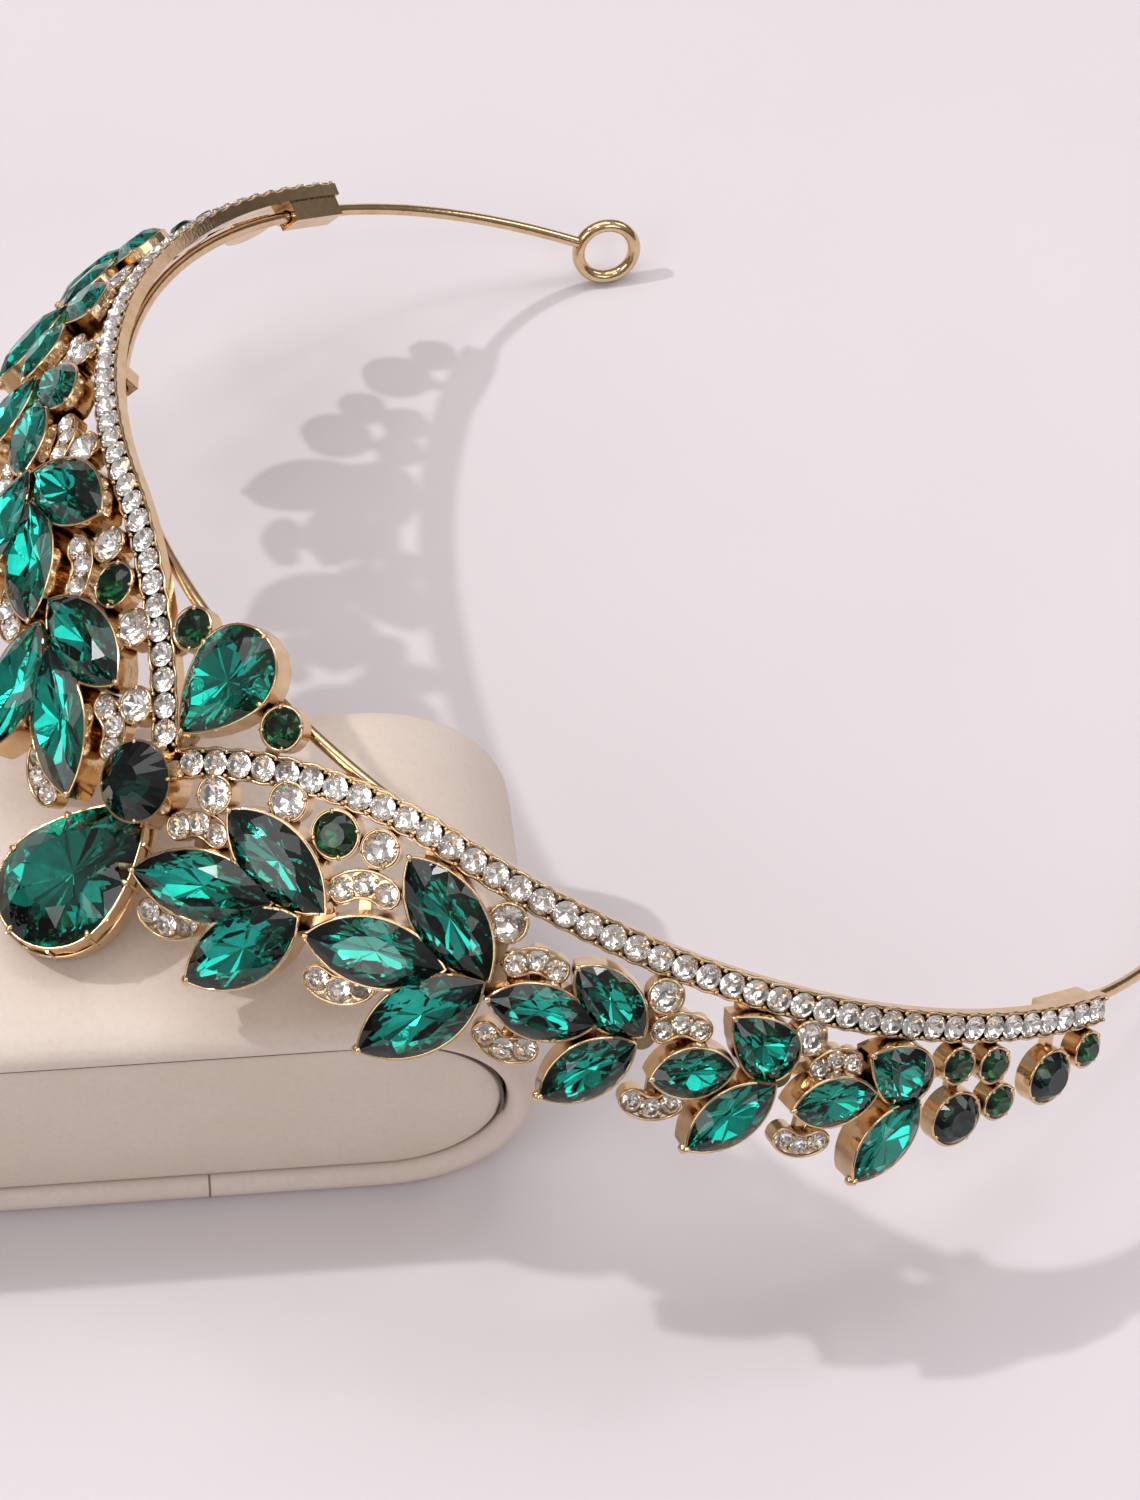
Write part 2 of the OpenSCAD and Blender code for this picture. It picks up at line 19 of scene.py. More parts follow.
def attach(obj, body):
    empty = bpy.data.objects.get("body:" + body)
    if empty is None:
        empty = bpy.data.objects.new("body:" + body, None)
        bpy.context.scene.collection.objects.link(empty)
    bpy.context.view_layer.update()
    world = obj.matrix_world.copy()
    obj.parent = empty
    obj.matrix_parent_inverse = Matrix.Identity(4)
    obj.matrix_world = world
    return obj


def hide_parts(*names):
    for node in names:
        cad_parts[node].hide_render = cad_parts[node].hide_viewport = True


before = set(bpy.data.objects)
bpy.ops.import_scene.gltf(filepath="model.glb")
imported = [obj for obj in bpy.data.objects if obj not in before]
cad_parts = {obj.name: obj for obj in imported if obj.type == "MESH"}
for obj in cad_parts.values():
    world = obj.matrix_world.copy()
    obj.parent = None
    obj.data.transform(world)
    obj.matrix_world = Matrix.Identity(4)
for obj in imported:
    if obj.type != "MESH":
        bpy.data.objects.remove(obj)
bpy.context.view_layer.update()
LOG = logging.getLogger("tiara")
MM = 0.001

Socket = bpy.types.NodeSocket
Material = bpy.types.Material
Piece = bpy.types.Object
Pair = tuple[Material, Material]
Colour = tuple[float, float, float]
Triple = tuple[float, float, float]
Crescent = tuple[float, float, float, float]
Section = Sequence[tuple[float, float]]


class Side(Enum):
    """The two halves of the crest, named by where they lie on the table."""

    LEFT = "left"
    RIGHT = "right"


class Cut(Enum):
    """Outlines that the stones are cut to."""

    NAVETTE = "navette"
    PEAR = "pear"
    ROUND = "round"


class Slot(Enum):
    """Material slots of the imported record."""

    GILT = "gilt_metal"
    CLEAR = "clear_crystal"
    GREEN = "green_glass"
    DEEP_GREEN = "deep_green_glass"
    WRAP = "wrap_leather"
    PANEL = "panel_leather"


@dataclass(frozen=True)
class CrestPattern:
    """Flat pattern of the crest, and the way it bends and lies on the table.

    u runs along the band, v up the crest and h off its surface, all in millimetres.
    """

    band_r: float = 72.0
    flare: float = 25.0
    curl: float = 0.46
    lean: float = 29.7
    centre_y: float = -8.70
    front_z: float = 61.78

    def lean_at(self, v: float) -> float:
        """Outward lean of the crest at height v, in radians."""
        return math.radians(self.flare - self.curl * max(v, 0.0))

    def out_at(self, v: float) -> float:
        """Distance of the crest outside the band's cylinder at height v."""
        flare = math.radians(self.flare)
        if v <= 0:
            return v * math.sin(flare)
        return (math.cos(self.lean_at(v)) - math.cos(flare)) / math.radians(self.curl)

    def up_at(self, v: float) -> float:
        """Height of the crest over the wire line at pattern height v."""
        flare = math.radians(self.flare)
        if v <= 0:
            return v * math.cos(flare)
        return (math.sin(flare) - math.sin(self.lean_at(v))) / math.radians(self.curl)

    def place(self, u: float, v: float, h: float, turn: float, side: Side) -> Matrix:
        """Matrix from a place's own millimetres to metres on the table.

        Args:
            u: place along the band.
            v: place up the crest.
            h: height off the crest.
            turn: turn in the crest surface, in degrees.
            side: the half that the place is on.

        Returns:
            A matrix that keeps handedness on both sides.
        """
        crest = (
            Matrix.Translation((0, self.band_r, 0))
            @ Matrix.Rotation(u / self.band_r, 4, "Z")
            @ Matrix.Translation((0, -self.band_r - self.out_at(v), self.up_at(v)))
            @ Matrix.Rotation(math.pi / 2 + self.lean_at(v), 4, "X")
            @ Matrix.Rotation(math.radians(turn), 4, "Z")
            @ Matrix.Translation((0, 0, h))
        )
        if side is Side.RIGHT:
            flip_x = Matrix.Scale(-1, 4, (1, 0, 0))
            flip_y = Matrix.Scale(-1, 4, (0, 1, 0))
            crest = flip_x @ crest @ flip_y
        laid = (
            Matrix.Translation((0, self.centre_y, self.front_z))
            @ Matrix.Rotation(math.pi, 4, "Z")
            @ Matrix.Rotation(math.radians(180 + self.lean), 4, "X")
        )
        return Matrix.Scale(MM, 4) @ laid @ crest


PATTERN = CrestPattern()
CUP_H = 2.2
SMALL_CUP_H = 1.2
PEAR_FLANK = 1.05
SPIN_AXIS, ROCK_AXIS = (0, 0, 1), (0.6, 0.8, 0)
CRESCENT_RING = 1.75
CRESCENT_STEP = math.radians(38)


@dataclass(frozen=True)
class Setting:
    """One stone and its cup, on the flat pattern, in millimetres."""

    name: str
    cut: Cut
    u: float
    v: float
    length: float
    width: float
    turn: float
    rim: float
    crown: float
    pavilion: float
    mains: int = 8
    table: float = 0.55
    base_h: float = 0.0
    tilt: float = 0.0

    def place(self, rise: float, side: Side) -> Matrix:
        """Matrix of the stone's own plane, rise over its cup's rim.

        Args:
            rise: height over the rim.
            side: the half that it is on.

        Returns:
            A matrix from millimetres to metres on the table.
        """
        turn = math.radians(self.turn if side is Side.LEFT else -self.turn)
        return (PATTERN.place(self.u, self.v, self.base_h, 0, side)
                @ Matrix.Rotation(math.radians(self.tilt), 4, "X")
                @ Matrix.Rotation(turn, 4, "Z")
                @ Matrix.Translation((0, 0, self.rim + rise)))

    def sides(self) -> tuple[Side, ...]:
        """The halves that carry it: a stone on the centre line is there once."""
        return (Side.LEFT,) if self.u == 0 else tuple(Side)


def leaf(name: str, u: float, v: float, length: float, width: float, turn: float, rise: float,
         cut: Cut = Cut.NAVETTE) -> Setting:
    """A leaf stone in a cup of the common height.

    Args:
        name: cluster letter and number of the leaf.
        u: middle along the band.
        v: middle up the crest.
        length: length of the stone.
        width: width of the stone.
        turn: turn of the line from its outer tip to its cluster's node.
        rise: rise of its cup over the others.
        cut: its outline.

    Returns:
        The setting.
    """
    return Setting(name, cut, u, v, length, width, turn, rim=CUP_H + rise,
                   crown=0.2 * width, pavilion=0.3 * width)


LEAVES = (
    leaf("a1", 11.8, 20.6, 16.6, 7.0, -28, 0.4),
    leaf("a2", 16.4, 13.1, 14.8, 7.0, 7, 0.0),
    leaf("a3", 18.7, 22.8, 14.6, 7.0, -65, 0.8),
    leaf("b1", 29.5, 14.5, 15, 6.8, -21, 0.4),
    leaf("b2", 34, 7.2, 15, 7.0, 26, 0.0),
    leaf("b3", 36.5, 17.6, 15.2, 7.0, -60, 0.8),
    leaf("c1", 46.4, 11, 11.2, 5.4, -13, 0.4),
    leaf("c2", 52.2, 6.9, 9.8, 5.4, 22, 0.0),
    leaf("c3", 53, 14.5, 11.2, 5.4, -55, 0.8),
    leaf("d1", 62.9, 10.8, 8.6, 5.0, -27, 0.4),
    leaf("d2", 68.7, 5.7, 8.6, 6.0, 25, 0.0, Cut.PEAR),
    leaf("d3", 68.2, 14.1, 11.2, 5.4, -56, 0.8),
    leaf("e1", 78.5, 10, 9.2, 5.0, -21, 0.4),
    leaf("e2", 85.1, 5.8, 8.2, 6.2, 21, 0.0, Cut.PEAR),
    leaf("e3", 85.7, 13.5, 10.6, 5.2, -65, 0.8),
)
BIG_PEAR = Setting("big_pear", Cut.PEAR, 0, 29.7, 19.4, 13.5, 90, rim=0.2, crown=2.4,
                   pavilion=2.7, mains=12, table=0.56, base_h=2.0, tilt=25)
LOW_PEAR = Setting("low_pear", Cut.PEAR, 0, 3.3, 13.4, 9.6, -90, rim=CUP_H, crown=2.0,
                   pavilion=2.3, mains=12, table=0.56)
PEAK_ROUND = Setting("peak_round", Cut.ROUND, 0, 17.3, 8.0, 8.0, 0, rim=3.4, crown=2.2,
                     pavilion=2.7, mains=12, table=0.42)
CLEAR_ROUNDS = ((6.7, 12.6, 3.2), (13.4, 7.6, 3.4), (24.2, 5.3, 3.2), (39.3, 4.5, 3.4),
                (57.4, 4.3, 3.0), (74.0, 4.0, 3.0))
GREEN_ROUNDS = ((7.9, 2.2, 4.0), (19.5, 7.0, 4.4), (93.2, 5.0, 3.4), (98.2, 5.0, 3.4),
                (100.3, 9.5, 3.4), (113.0, 5.0, 3.4), (94.9, 11.3, 5.6), (107.3, 7.3, 5.6))
CRESCENTS = ((7.2, 16.2, 240, 2.2), (10.6, 27.3, 66, 2.2), (24.9, 9.4, 242, 2.3),
             (28.4, 20.7, 64, 2.3), (43.8, 6.6, 250, 2.0), (44.9, 16.9, 84, 2.1),
             (60.2, 6.6, 248, 1.9), (60.9, 16.5, 74, 2.0), (77.9, 5.8, 250, 1.8),
             (77.3, 16.2, 84, 1.9))


def round_setting(name: str, row: Triple) -> Setting:
    """A small round stone in its cup.

    Args:
        name: name of the setting.
        row: u, v and diameter.

    Returns:
        The setting.
    """
    u, v, d = row
    return Setting(name, Cut.ROUND, u, v, d, d, 0, rim=SMALL_CUP_H, crown=0.2 * d,
                   pavilion=min(0.36 * d, 1.4))


ROUNDS = tuple(round_setting(f"round_{i}", row)
               for i, row in enumerate((*CLEAR_ROUNDS, *GREEN_ROUNDS)))
CUPS = (*LEAVES, BIG_PEAR, LOW_PEAR, PEAK_ROUND, *ROUNDS)


# Outlines and stones


def around(angle: float, r: float = 1.0) -> Vector:
    """Point of a flat circle of radius r, at an angle from +x."""
    return Vector((r * math.cos(angle), r * math.sin(angle), 0))


def on_half(point: Vector, side: Side) -> Vector:
    """A flat point of the left half, or its mirror image for the right half."""
    return point if side is Side.LEFT else Vector((point.x, -point.y, 0))


def navette_outline(length: float, width: float, count: int) -> list[Vector]:
    """Outline of two arcs, pointed at both ends, from its +x tip round to the left."""
    r = (length * length + width * width) / (4 * width)
    half = math.asin(length / 2 / r)
    drop = r - width / 2
    steps = count // 2
    points = []
    for base, sign in ((math.pi / 2, -1), (1.5 * math.pi, 1)):
        for i in range(steps):
            t = base - half + 2 * half * i / steps
            points.append(around(t, r) + Vector((0, sign * drop, 0)))
    return points


def pear_outline(length: float, width: float, count: int) -> list[Vector]:
    """Outline of a pear from the middle of its round end, its tip at -x."""
    r = width / 2
    reach = length - r
    side_r = PEAR_FLANK * length
    along = (reach * reach + r * r - 2 * side_r * r) / (2 * reach)
    off = math.sqrt((side_r - r) ** 2 - along * along)
    round_x = length / 2 - r
    joint = math.atan2(off, along)
    arc_x = round_x - along
    tip = math.atan2(off, -length / 2 - arc_x)
    steps = count // 4
    rest = count // 2 - steps
    top = [Vector((round_x, 0, 0)) + around(joint * i / steps, r) for i in range(1, steps + 1)]
    top += [Vector((arc_x, -off, 0)) + around(joint + (tip - joint) * i / rest, side_r)
            for i in range(1, rest)]
    low = [on_half(p, Side.RIGHT) for p in reversed(top)]
    return [Vector((length / 2, 0, 0)), *top, Vector((-length / 2, 0, 0)), *low]


def stone_outline(cut: Cut, length: float, width: float, count: int) -> list[Vector]:
    """Outline of a stone or a cup.

    Args:
        cut: the kind of outline.
        length: its length.
        width: its width.
        count: how many points it takes, a multiple of 4.

    Returns:
        Its points, counted to the left.
    """
    if cut is Cut.NAVETTE:
        return navette_outline(length, width, count)
    if cut is Cut.PEAR:
        return pear_outline(length, width, count)
    return [Vector((length / 2 * math.cos(2 * math.pi * i / count),
                    width / 2 * math.sin(2 * math.pi * i / count), 0)) for i in range(count)]


@dataclass
class CutStone:
    """A cut stone: table, stars, mains and halves over a girdle, and a foiled pavilion."""

    setting: Setting
    girdle: float = 0.14
    star_ratio: float = 0.80
    pavilion_ratio: tuple[float, float] = (0.62, 0.40)
    pear_focus: float = 0.3
    wedges: bool = False
    faces: list[tuple[int, ...]] = field(default_factory=list)
    foiled: list[bool] = field(default_factory=list)

    def facet(self, foil: bool, *corners: int) -> None:
        """Adds one facet and notes whether the foil lies behind it."""
        self.faces.append(tuple(corners))
        self.foiled.append(foil)

    def points(self) -> list[Vector]:
        """Corners of every facet, ring by ring from the table to the culet."""
        s, n = self.setting, self.setting.mains
        edge = stone_outline(s.cut, s.length, s.width, 2 * n)
        off = self.pear_focus * (s.length - s.width) / 2 if s.cut is Cut.PEAR else 0
        focus = Vector((off, 0, 0))
        chord = math.cos(math.pi / n)
        reach = (self.star_ratio * chord - s.table) / (1 - s.table)
        mid_z = s.crown * (1 - reach)
        across = self.pavilion_ratio[1] * chord
        low_z = -self.girdle - (s.pavilion - self.girdle) * (1 - across)
        up, down = Vector((0, 0, 1)), Vector((0, 0, -1))
        ring = [focus + s.table * (edge[2 * i] - focus) + s.crown * up for i in range(n)]
        ring += [focus + self.star_ratio * (edge[2 * i + 1] - focus) + mid_z * up
                 for i in range(n)]
        ring += [p.copy() for p in edge]
        ring += [p + self.girdle * down for p in edge]
        deep = Vector((*self.pavilion_ratio, 1.0))
        ring += [focus + deep * (edge[2 * i + 1] - focus) + low_z * up for i in range(n)]
        return [*ring, focus + s.pavilion * down]

    def wedge_middle(self, points: list[Vector], i: int) -> Vector:
        """Place of a star corner that makes one flat wedge of the facets round it."""
        n = self.setting.mains
        j = (i + 1) % n
        inner = (points[i] + points[j]) / 2
        outer = (points[2 * n + 2 * i] + points[2 * n + 2 * j]) / 2
        return (inner + outer) / 2

    def mesh(self, name: str) -> bpy.types.Mesh:
        """Builds the stone with its girdle's top at zero.

        Args:
            name: name of the mesh.

        Returns:
            A closed mesh, material 0 on the glass and 1 on the foiled facets.
        """
        n = self.setting.mains
        table, star, edge, low, deep, culet = 0, n, 2 * n, 4 * n, 6 * n, 7 * n
        self.faces, self.foiled = [], []
        self.facet(False, *range(table, table + n))
        points = self.points()
        if self.wedges:
            for i in range(n):
                points[star + i] = self.wedge_middle(points, i)
        for i in range(n):
            j, before = (i + 1) % n, (i - 1) % n
            here, half, after = edge + 2 * i, edge + 2 * i + 1, edge + 2 * j
            self.facet(False, table + i, star + i, table + j)
            self.facet(False, table + i, star + before, here)
            self.facet(False, table + i, here, star + i)
            self.facet(False, star + i, here, half)
            self.facet(False, star + i, half, after)
            under, under_half, under_after = low + 2 * i, low + 2 * i + 1, low + 2 * j
            self.facet(False, here, under, under_half, half)
            self.facet(False, half, under_half, under_after, after)
            self.facet(True, deep + i, under_half, under)
            self.facet(True, deep + i, under_after, under_half)
            self.facet(True, culet, deep + i, under)
            self.facet(True, culet, under, deep + before)
        mesh = plain_mesh(name, points, self.faces)
        mesh.polygons.foreach_set("material_index", [int(foil) for foil in self.foiled])
        mesh.attributes.new("foiled", "BOOLEAN", "FACE").data.foreach_set("value", self.foiled)
        return mesh


# Node trees and finishes


class NodeBench:
    """Adds and links the nodes of one tree."""

    def __init__(self, tree: bpy.types.NodeTree) -> None:
        """Takes the tree that the nodes go into."""
        self.tree = tree

    def fill(self, node: bpy.types.Node, **inputs: object) -> None:
        """Fills a node's inputs by name, with _ for a space, with values or from sockets."""
        for key, value in inputs.items():
            socket = node.inputs[key.replace("_", " ")]
            if isinstance(value, Socket):
                self.tree.links.new(value, socket)
            else:
                socket.default_value = value

    def add(self, kind: str, **inputs: object) -> bpy.types.Node:
        """Adds a node and fills its inputs."""
        node = self.tree.nodes.new(kind)
        self.fill(node, **inputs)
        return node

    def blend(self, share: Socket, first: Sequence[float] | Socket,
              second: Sequence[float]) -> Socket:
        """Mixes two colours, the first of which may come from another node."""
        node = self.add("ShaderNodeMix")
        node.data_type = "RGBA"
        share_in, *_, first_in, second_in = node.inputs[:8]
        self.tree.links.new(share, share_in)
        if isinstance(first, Socket):
            self.tree.links.new(first, first_in)
        else:
            first_in.default_value = (*first, 1.0)
        second_in.default_value = (*second, 1.0)
        return node.outputs[2]


class ShaderBench(NodeBench):
    """Adds and links the nodes of one material."""

    def __init__(self, name: str, **inputs: object) -> None:
        """Starts a material with a bare shader and its output."""
        self.material = bpy.data.materials.new(name)
        self.material.use_nodes = True
        super().__init__(self.material.node_tree)
        self.tree.nodes.clear()
        self.shader = self.add("ShaderNodeBsdfPrincipled", **inputs)
        self.add("ShaderNodeOutputMaterial", Surface=self.shader.outputs["BSDF"])
        self.spot = self.add("ShaderNodeTexCoord").outputs["Object"]

    def noise(self, size_mm: float, detail: float = 3.0, rough: float = 0.55) -> Socket:
        """Noise whose grains are about size_mm across, on object coordinates."""
        return self.add("ShaderNodeTexNoise", Scale=1.0 / (size_mm * MM), Detail=detail,
                        Roughness=rough, Vector=self.spot).outputs["Fac"]

    def spread(self, out: Socket, low: float, high: float,
               start: float = 0.3, stop: float = 0.7) -> Socket:
        """Maps a value from start to stop onto low to high."""
        node = self.add("ShaderNodeMapRange", Value=out)
        for socket, value in zip(node.inputs[1:5], (start, stop, low, high)):
            socket.default_value = value
        return node.outputs[0]

    def clouds(self, size_mm: float, first: Sequence[float], second: Sequence[float],
               detail: float = 2.0) -> Socket:
        """Two colours that drift into each other."""
        return self.blend(self.spread(self.noise(size_mm, detail), 0, 1), first, second)

    def hollow(self, reach_mm: float, samples: int, start: float, stop: float) -> Socket:
        """Share of shade in the recesses that are narrower than reach_mm."""
        node = self.add("ShaderNodeAmbientOcclusion", Distance=reach_mm * MM)
        node.samples = samples
        return self.spread(node.outputs["AO"], 1, 0, start, stop)

    def bump(self, height: Socket, depth_mm: float, strength: float = 1.0,
             under: Socket | None = None) -> Socket:
        """Raises a height of depth_mm over an earlier bump."""
        node = self.add("ShaderNodeBump", Strength=strength, Distance=depth_mm * MM,
                        Height=height)
        if under is not None:
            self.fill(node, Normal=under)
        return node.outputs["Normal"]

    def dress(self, **inputs: object) -> Material:
        """Fills the shader's inputs and hands over the material."""
        self.fill(self.shader, **inputs)
        return self.material


@dataclass(frozen=True)
class GiltFinish:
    """Light gold plate, paler on the open faces, with painted shade that turns it orange-brown in
    the recesses.
    """

    name: str = "light_gold_plate"
    pale: Colour = (0.78, 0.59, 0.38)
    warm: Colour = (0.68, 0.45, 0.23)
    # Painted shade: the colour mixed in where the casting is closed in.
    recess_shade: Colour = (0.22, 0.09, 0.03)
    tone_mm: float = 2.2
    shine: tuple[float, float] = (0.06, 0.16)
    grain_mm: float = 0.5
    grain_depth_mm: float = 0.018
    recess_shade_mm: float = 1.1
    recess_shade_samples: int = 6
    recess_shade_range: tuple[float, float] = (0.15, 0.75)

    def build(self) -> Material:
        """Makes the material."""
        bench = ShaderBench(self.name, Metallic=1.0)
        colour = bench.clouds(self.tone_mm, self.pale, self.warm, 3)
        # Painted shade in the recesses, from how closed in each spot is.
        shade = bench.hollow(self.recess_shade_mm, self.recess_shade_samples, *self.recess_shade_range)
        grain = bench.noise(self.grain_mm, 4)
        return bench.dress(Base_Color=bench.blend(shade, colour, self.recess_shade),
                           Roughness=bench.spread(grain, *self.shine),
                           Normal=bench.bump(grain, self.grain_depth_mm))


@dataclass(frozen=True)
class GlassFinish:
    """Polished cut glass over foil, with faint clouds in its tint."""

    name: str
    tint: Colour
    cloud: Colour
    cloud_mm: float = 3.0
    ior: float = 1.54
    gloss: float = 0.5
    clarity: float = 1.0
    wipe_mm: float = 1.2
    wipe_depth_mm: float = 0.0015

    def build(self) -> Material:
        """Makes the material."""
        bench = ShaderBench(self.name, Transmission_Weight=self.clarity, IOR=self.ior,
                            Specular_IOR_Level=self.gloss, Roughness=0.0)
        wipe = bench.noise(self.wipe_mm, 2)
        return bench.dress(Base_Color=bench.clouds(self.cloud_mm, self.tint, self.cloud),
                           Normal=bench.bump(wipe, self.wipe_depth_mm))


@dataclass(frozen=True)
class FoilFinish:
    """Mirror foil behind a stone, with a second tone that drifts across it."""

    name: str
    tone: Colour
    drift: Colour
    drift_mm: float = 2.4
    shine: tuple[float, float] = (0.0, 0.04)
    crinkle_mm: float = 0.5
    crinkle_depth_mm: float = 0.003

    def build(self) -> Material:
        """Makes the material."""
        bench = ShaderBench(self.name, Metallic=1.0)
        crinkle = bench.noise(self.crinkle_mm, 2)
        return bench.dress(Base_Color=bench.clouds(self.drift_mm, self.tone, self.drift),
                           Roughness=bench.spread(crinkle, *self.shine),
                           Normal=bench.bump(crinkle, self.crinkle_depth_mm))


@dataclass(frozen=True)
class LeatherFinish:
    """Fine-grained cream leather with a soft sheen, and painted shade that darkens its creases."""

    name: str
    light: Colour
    shade: Colour
    cloud_mm: float = 14.0
    sheen: tuple[float, float] = (0.42, 0.55)
    grain_mm: float = 0.55
    pore_depth_mm: float = 0.05
    pore_strength: float = 0.5
    pore_shade: float = 0.88
    pore_range: tuple[float, ...] = (0, 0.35, 0.35, 0.8)
    wrinkle_mm: float = 4.0
    wrinkle_depth_mm: float = 0.12
    wrinkle_strength: float = 0.35
    # Painted shade: the colour mixed into the creases and joints.
    crease: Colour = (0.10, 0.065, 0.045)
    crease_shade_mm: float = 1.7
    crease_shade_samples: int = 8
    crease_shade_range: tuple[float, float] = (0.08, 0.42)

    def build(self) -> Material:
        """Makes the material."""
        bench = ShaderBench(self.name)
        colour = bench.clouds(self.cloud_mm, self.light, self.shade, 3)
        cells = bench.add("ShaderNodeTexVoronoi", Scale=1.0 / (self.grain_mm * MM),
                          Vector=bench.spot)
        cells.feature = "SMOOTH_F1"
        pore = cells.outputs["Distance"]
        grained = bench.blend(bench.spread(pore, *self.pore_range), colour,
                              tuple(self.pore_shade * c for c in self.shade))
        # Painted shade in the creases, from how closed in each spot is.
        crease_shade_share = bench.hollow(self.crease_shade_mm, self.crease_shade_samples, *self.crease_shade_range)
        soft = bench.bump(bench.noise(self.wrinkle_mm, 4), self.wrinkle_depth_mm,
                          self.wrinkle_strength)
        return bench.dress(
            Base_Color=bench.blend(crease_shade_share, grained, self.crease),
            Roughness=bench.spread(bench.noise(self.cloud_mm), *self.sheen),
            Normal=bench.bump(pore, self.pore_depth_mm, self.pore_strength, soft))


@dataclass(frozen=True)
class FloorFinish:
    """Smooth pale board under the object."""

    name: str = "pale_board"
    near: Colour = (0.72, 0.67, 0.70)
    far: Colour = (0.70, 0.652, 0.68)
    tooth_mm: float = 60.0
    roughness: float = 0.7
    gloss: float = 0.25

    def build(self) -> Material:
        """Makes the material."""
        bench = ShaderBench(self.name, Roughness=self.roughness,
                            Specular_IOR_Level=self.gloss)
        return bench.dress(Base_Color=bench.clouds(self.tooth_mm, self.near, self.far))


@dataclass(frozen=True)
class Finishes:
    """Every finish of the object, built once."""

    gilt: Material
    clear: Pair
    leaf: Pair
    pear: Pair
    deep: Pair
    grass: Pair
    wrap: Material
    panel: Material
    seam: Material
    crease: Material

    @classmethod
    def mixed(cls) -> Finishes:
        """Mixes all the finishes."""
        cream, shade = (0.745, 0.64, 0.57), (0.715, 0.60, 0.525)
        return cls(
            gilt=GiltFinish().build(),
            clear=(GlassFinish("clear_crystal", (1.0, 0.99, 0.98), (1.0, 0.97, 0.95),
                               clarity=0.9).build(),
                   FoilFinish("silver_foil", (1.0, 0.985, 0.965), (0.98, 0.955, 0.93),
                              shine=(0.0, 0.06)).build()),
            leaf=(GlassFinish("emerald_glass", (0.26, 0.82, 0.75), (0.20, 0.76, 0.70),
                              gloss=0.2).build(),
                  FoilFinish("emerald_foil", (0.05, 0.60, 0.50), (0.03, 0.42, 0.36)).build()),
            pear=(GlassFinish("pear_glass", (0.26, 0.82, 0.75), (0.20, 0.75, 0.69),
                              gloss=0.3).build(),
                  FoilFinish("pear_foil", (0.04, 0.52, 0.42), (0.02, 0.32, 0.28)).build()),
            deep=(GlassFinish("deep_glass", (0.07, 0.26, 0.22), (0.05, 0.20, 0.18),
                              gloss=0.35).build(),
                  FoilFinish("deep_foil", (0.02, 0.08, 0.07), (0.01, 0.05, 0.05)).build()),
            grass=(GlassFinish("grass_glass", (0.10, 0.50, 0.28), (0.07, 0.42, 0.25),
                               gloss=0.25).build(),
                   FoilFinish("grass_foil", (0.02, 0.17, 0.07), (0.01, 0.10, 0.05)).build()),
            wrap=LeatherFinish("cream_leather", cream, shade).build(),
            panel=LeatherFinish("panel_leather", (0.735, 0.635, 0.54), (0.70, 0.595, 0.495)
                                ).build(),
            seam=LeatherFinish("seam_thread", (0.27, 0.195, 0.155), (0.20, 0.145, 0.115)).build(),
            # Dark leather for the strand of painted shadow along the end panels.
            crease=LeatherFinish("crease_lining", (0.15, 0.10, 0.07), (0.10, 0.065, 0.045)).build(),
        )


# Geometry Nodes recipes


@dataclass(frozen=True)
class TreeInput:
    """One named input of a recipe."""

    name: str
    kind: str
    value: object = None


class Recipe(NodeBench):
    """Adds and links the nodes of one geometry tree."""

    def __init__(self, name: str, inputs: Iterable[TreeInput]) -> None:
        """Starts a tree with a geometry in and out and its named inputs."""
        super().__init__(bpy.data.node_groups.new(name, "GeometryNodeTree"))
        sockets = self.tree.interface
        sockets.new_socket("Geometry", in_out="INPUT", socket_type="NodeSocketGeometry")
        for row in inputs:
            socket = sockets.new_socket(row.name, in_out="INPUT", socket_type=row.kind)
            if row.value is not None:
                socket.default_value = row.value
        sockets.new_socket("Geometry", in_out="OUTPUT", socket_type="NodeSocketGeometry")
        self.given = self.add("NodeGroupInput").outputs

    def named(self, kind: str, name: str) -> Socket:
        """Reads a named attribute."""
        node = self.add("GeometryNodeInputNamedAttribute")
        node.data_type = kind
        self.fill(node, Name=name)
        return node.outputs["Attribute"]

    def turned(self, turn: Socket, label: str, axis: Sequence[float]) -> Socket:
        """Turns by a chance angle about a local axis.

        Args:
            turn: the rotation that it starts from.
            label: named input that holds the largest angle either way.
            axis: the axis.

        Returns:
            The new rotation.
        """
        below = self.add("ShaderNodeMath")
        below.operation = "MULTIPLY"
        below.inputs[1].default_value = -1.0
        self.tree.links.new(self.given[label], below.inputs[0])
        chance = self.add("FunctionNodeRandomValue", Seed=self.given["Seed"])
        chance.data_type = "FLOAT"
        lowest, highest = chance.inputs[2:4]
        self.tree.links.new(below.outputs[0], lowest)
        self.tree.links.new(self.given[label], highest)
        about = self.add("FunctionNodeAxisAngleToRotation", Axis=axis, Angle=chance.outputs[1])
        add = self.add("FunctionNodeRotateRotation", Rotation=turn,
                       Rotate_By=about.outputs["Rotation"])
        add.rotation_space = "LOCAL"
        return add.outputs["Rotation"]

    def finish(self, node: bpy.types.Node) -> bpy.types.NodeTree:
        """Sends a node's geometry out."""
        self.add("NodeGroupOutput", Geometry=node.outputs["Geometry"])
        return self.tree


def input_id(tree: bpy.types.NodeTree, name: str) -> str:
    """Identifier of a recipe's named input."""
    for item in tree.interface.items_tree:
        if item.item_type == "SOCKET" and item.in_out == "INPUT" and item.name == name:
            return item.identifier
    raise KeyError(name)


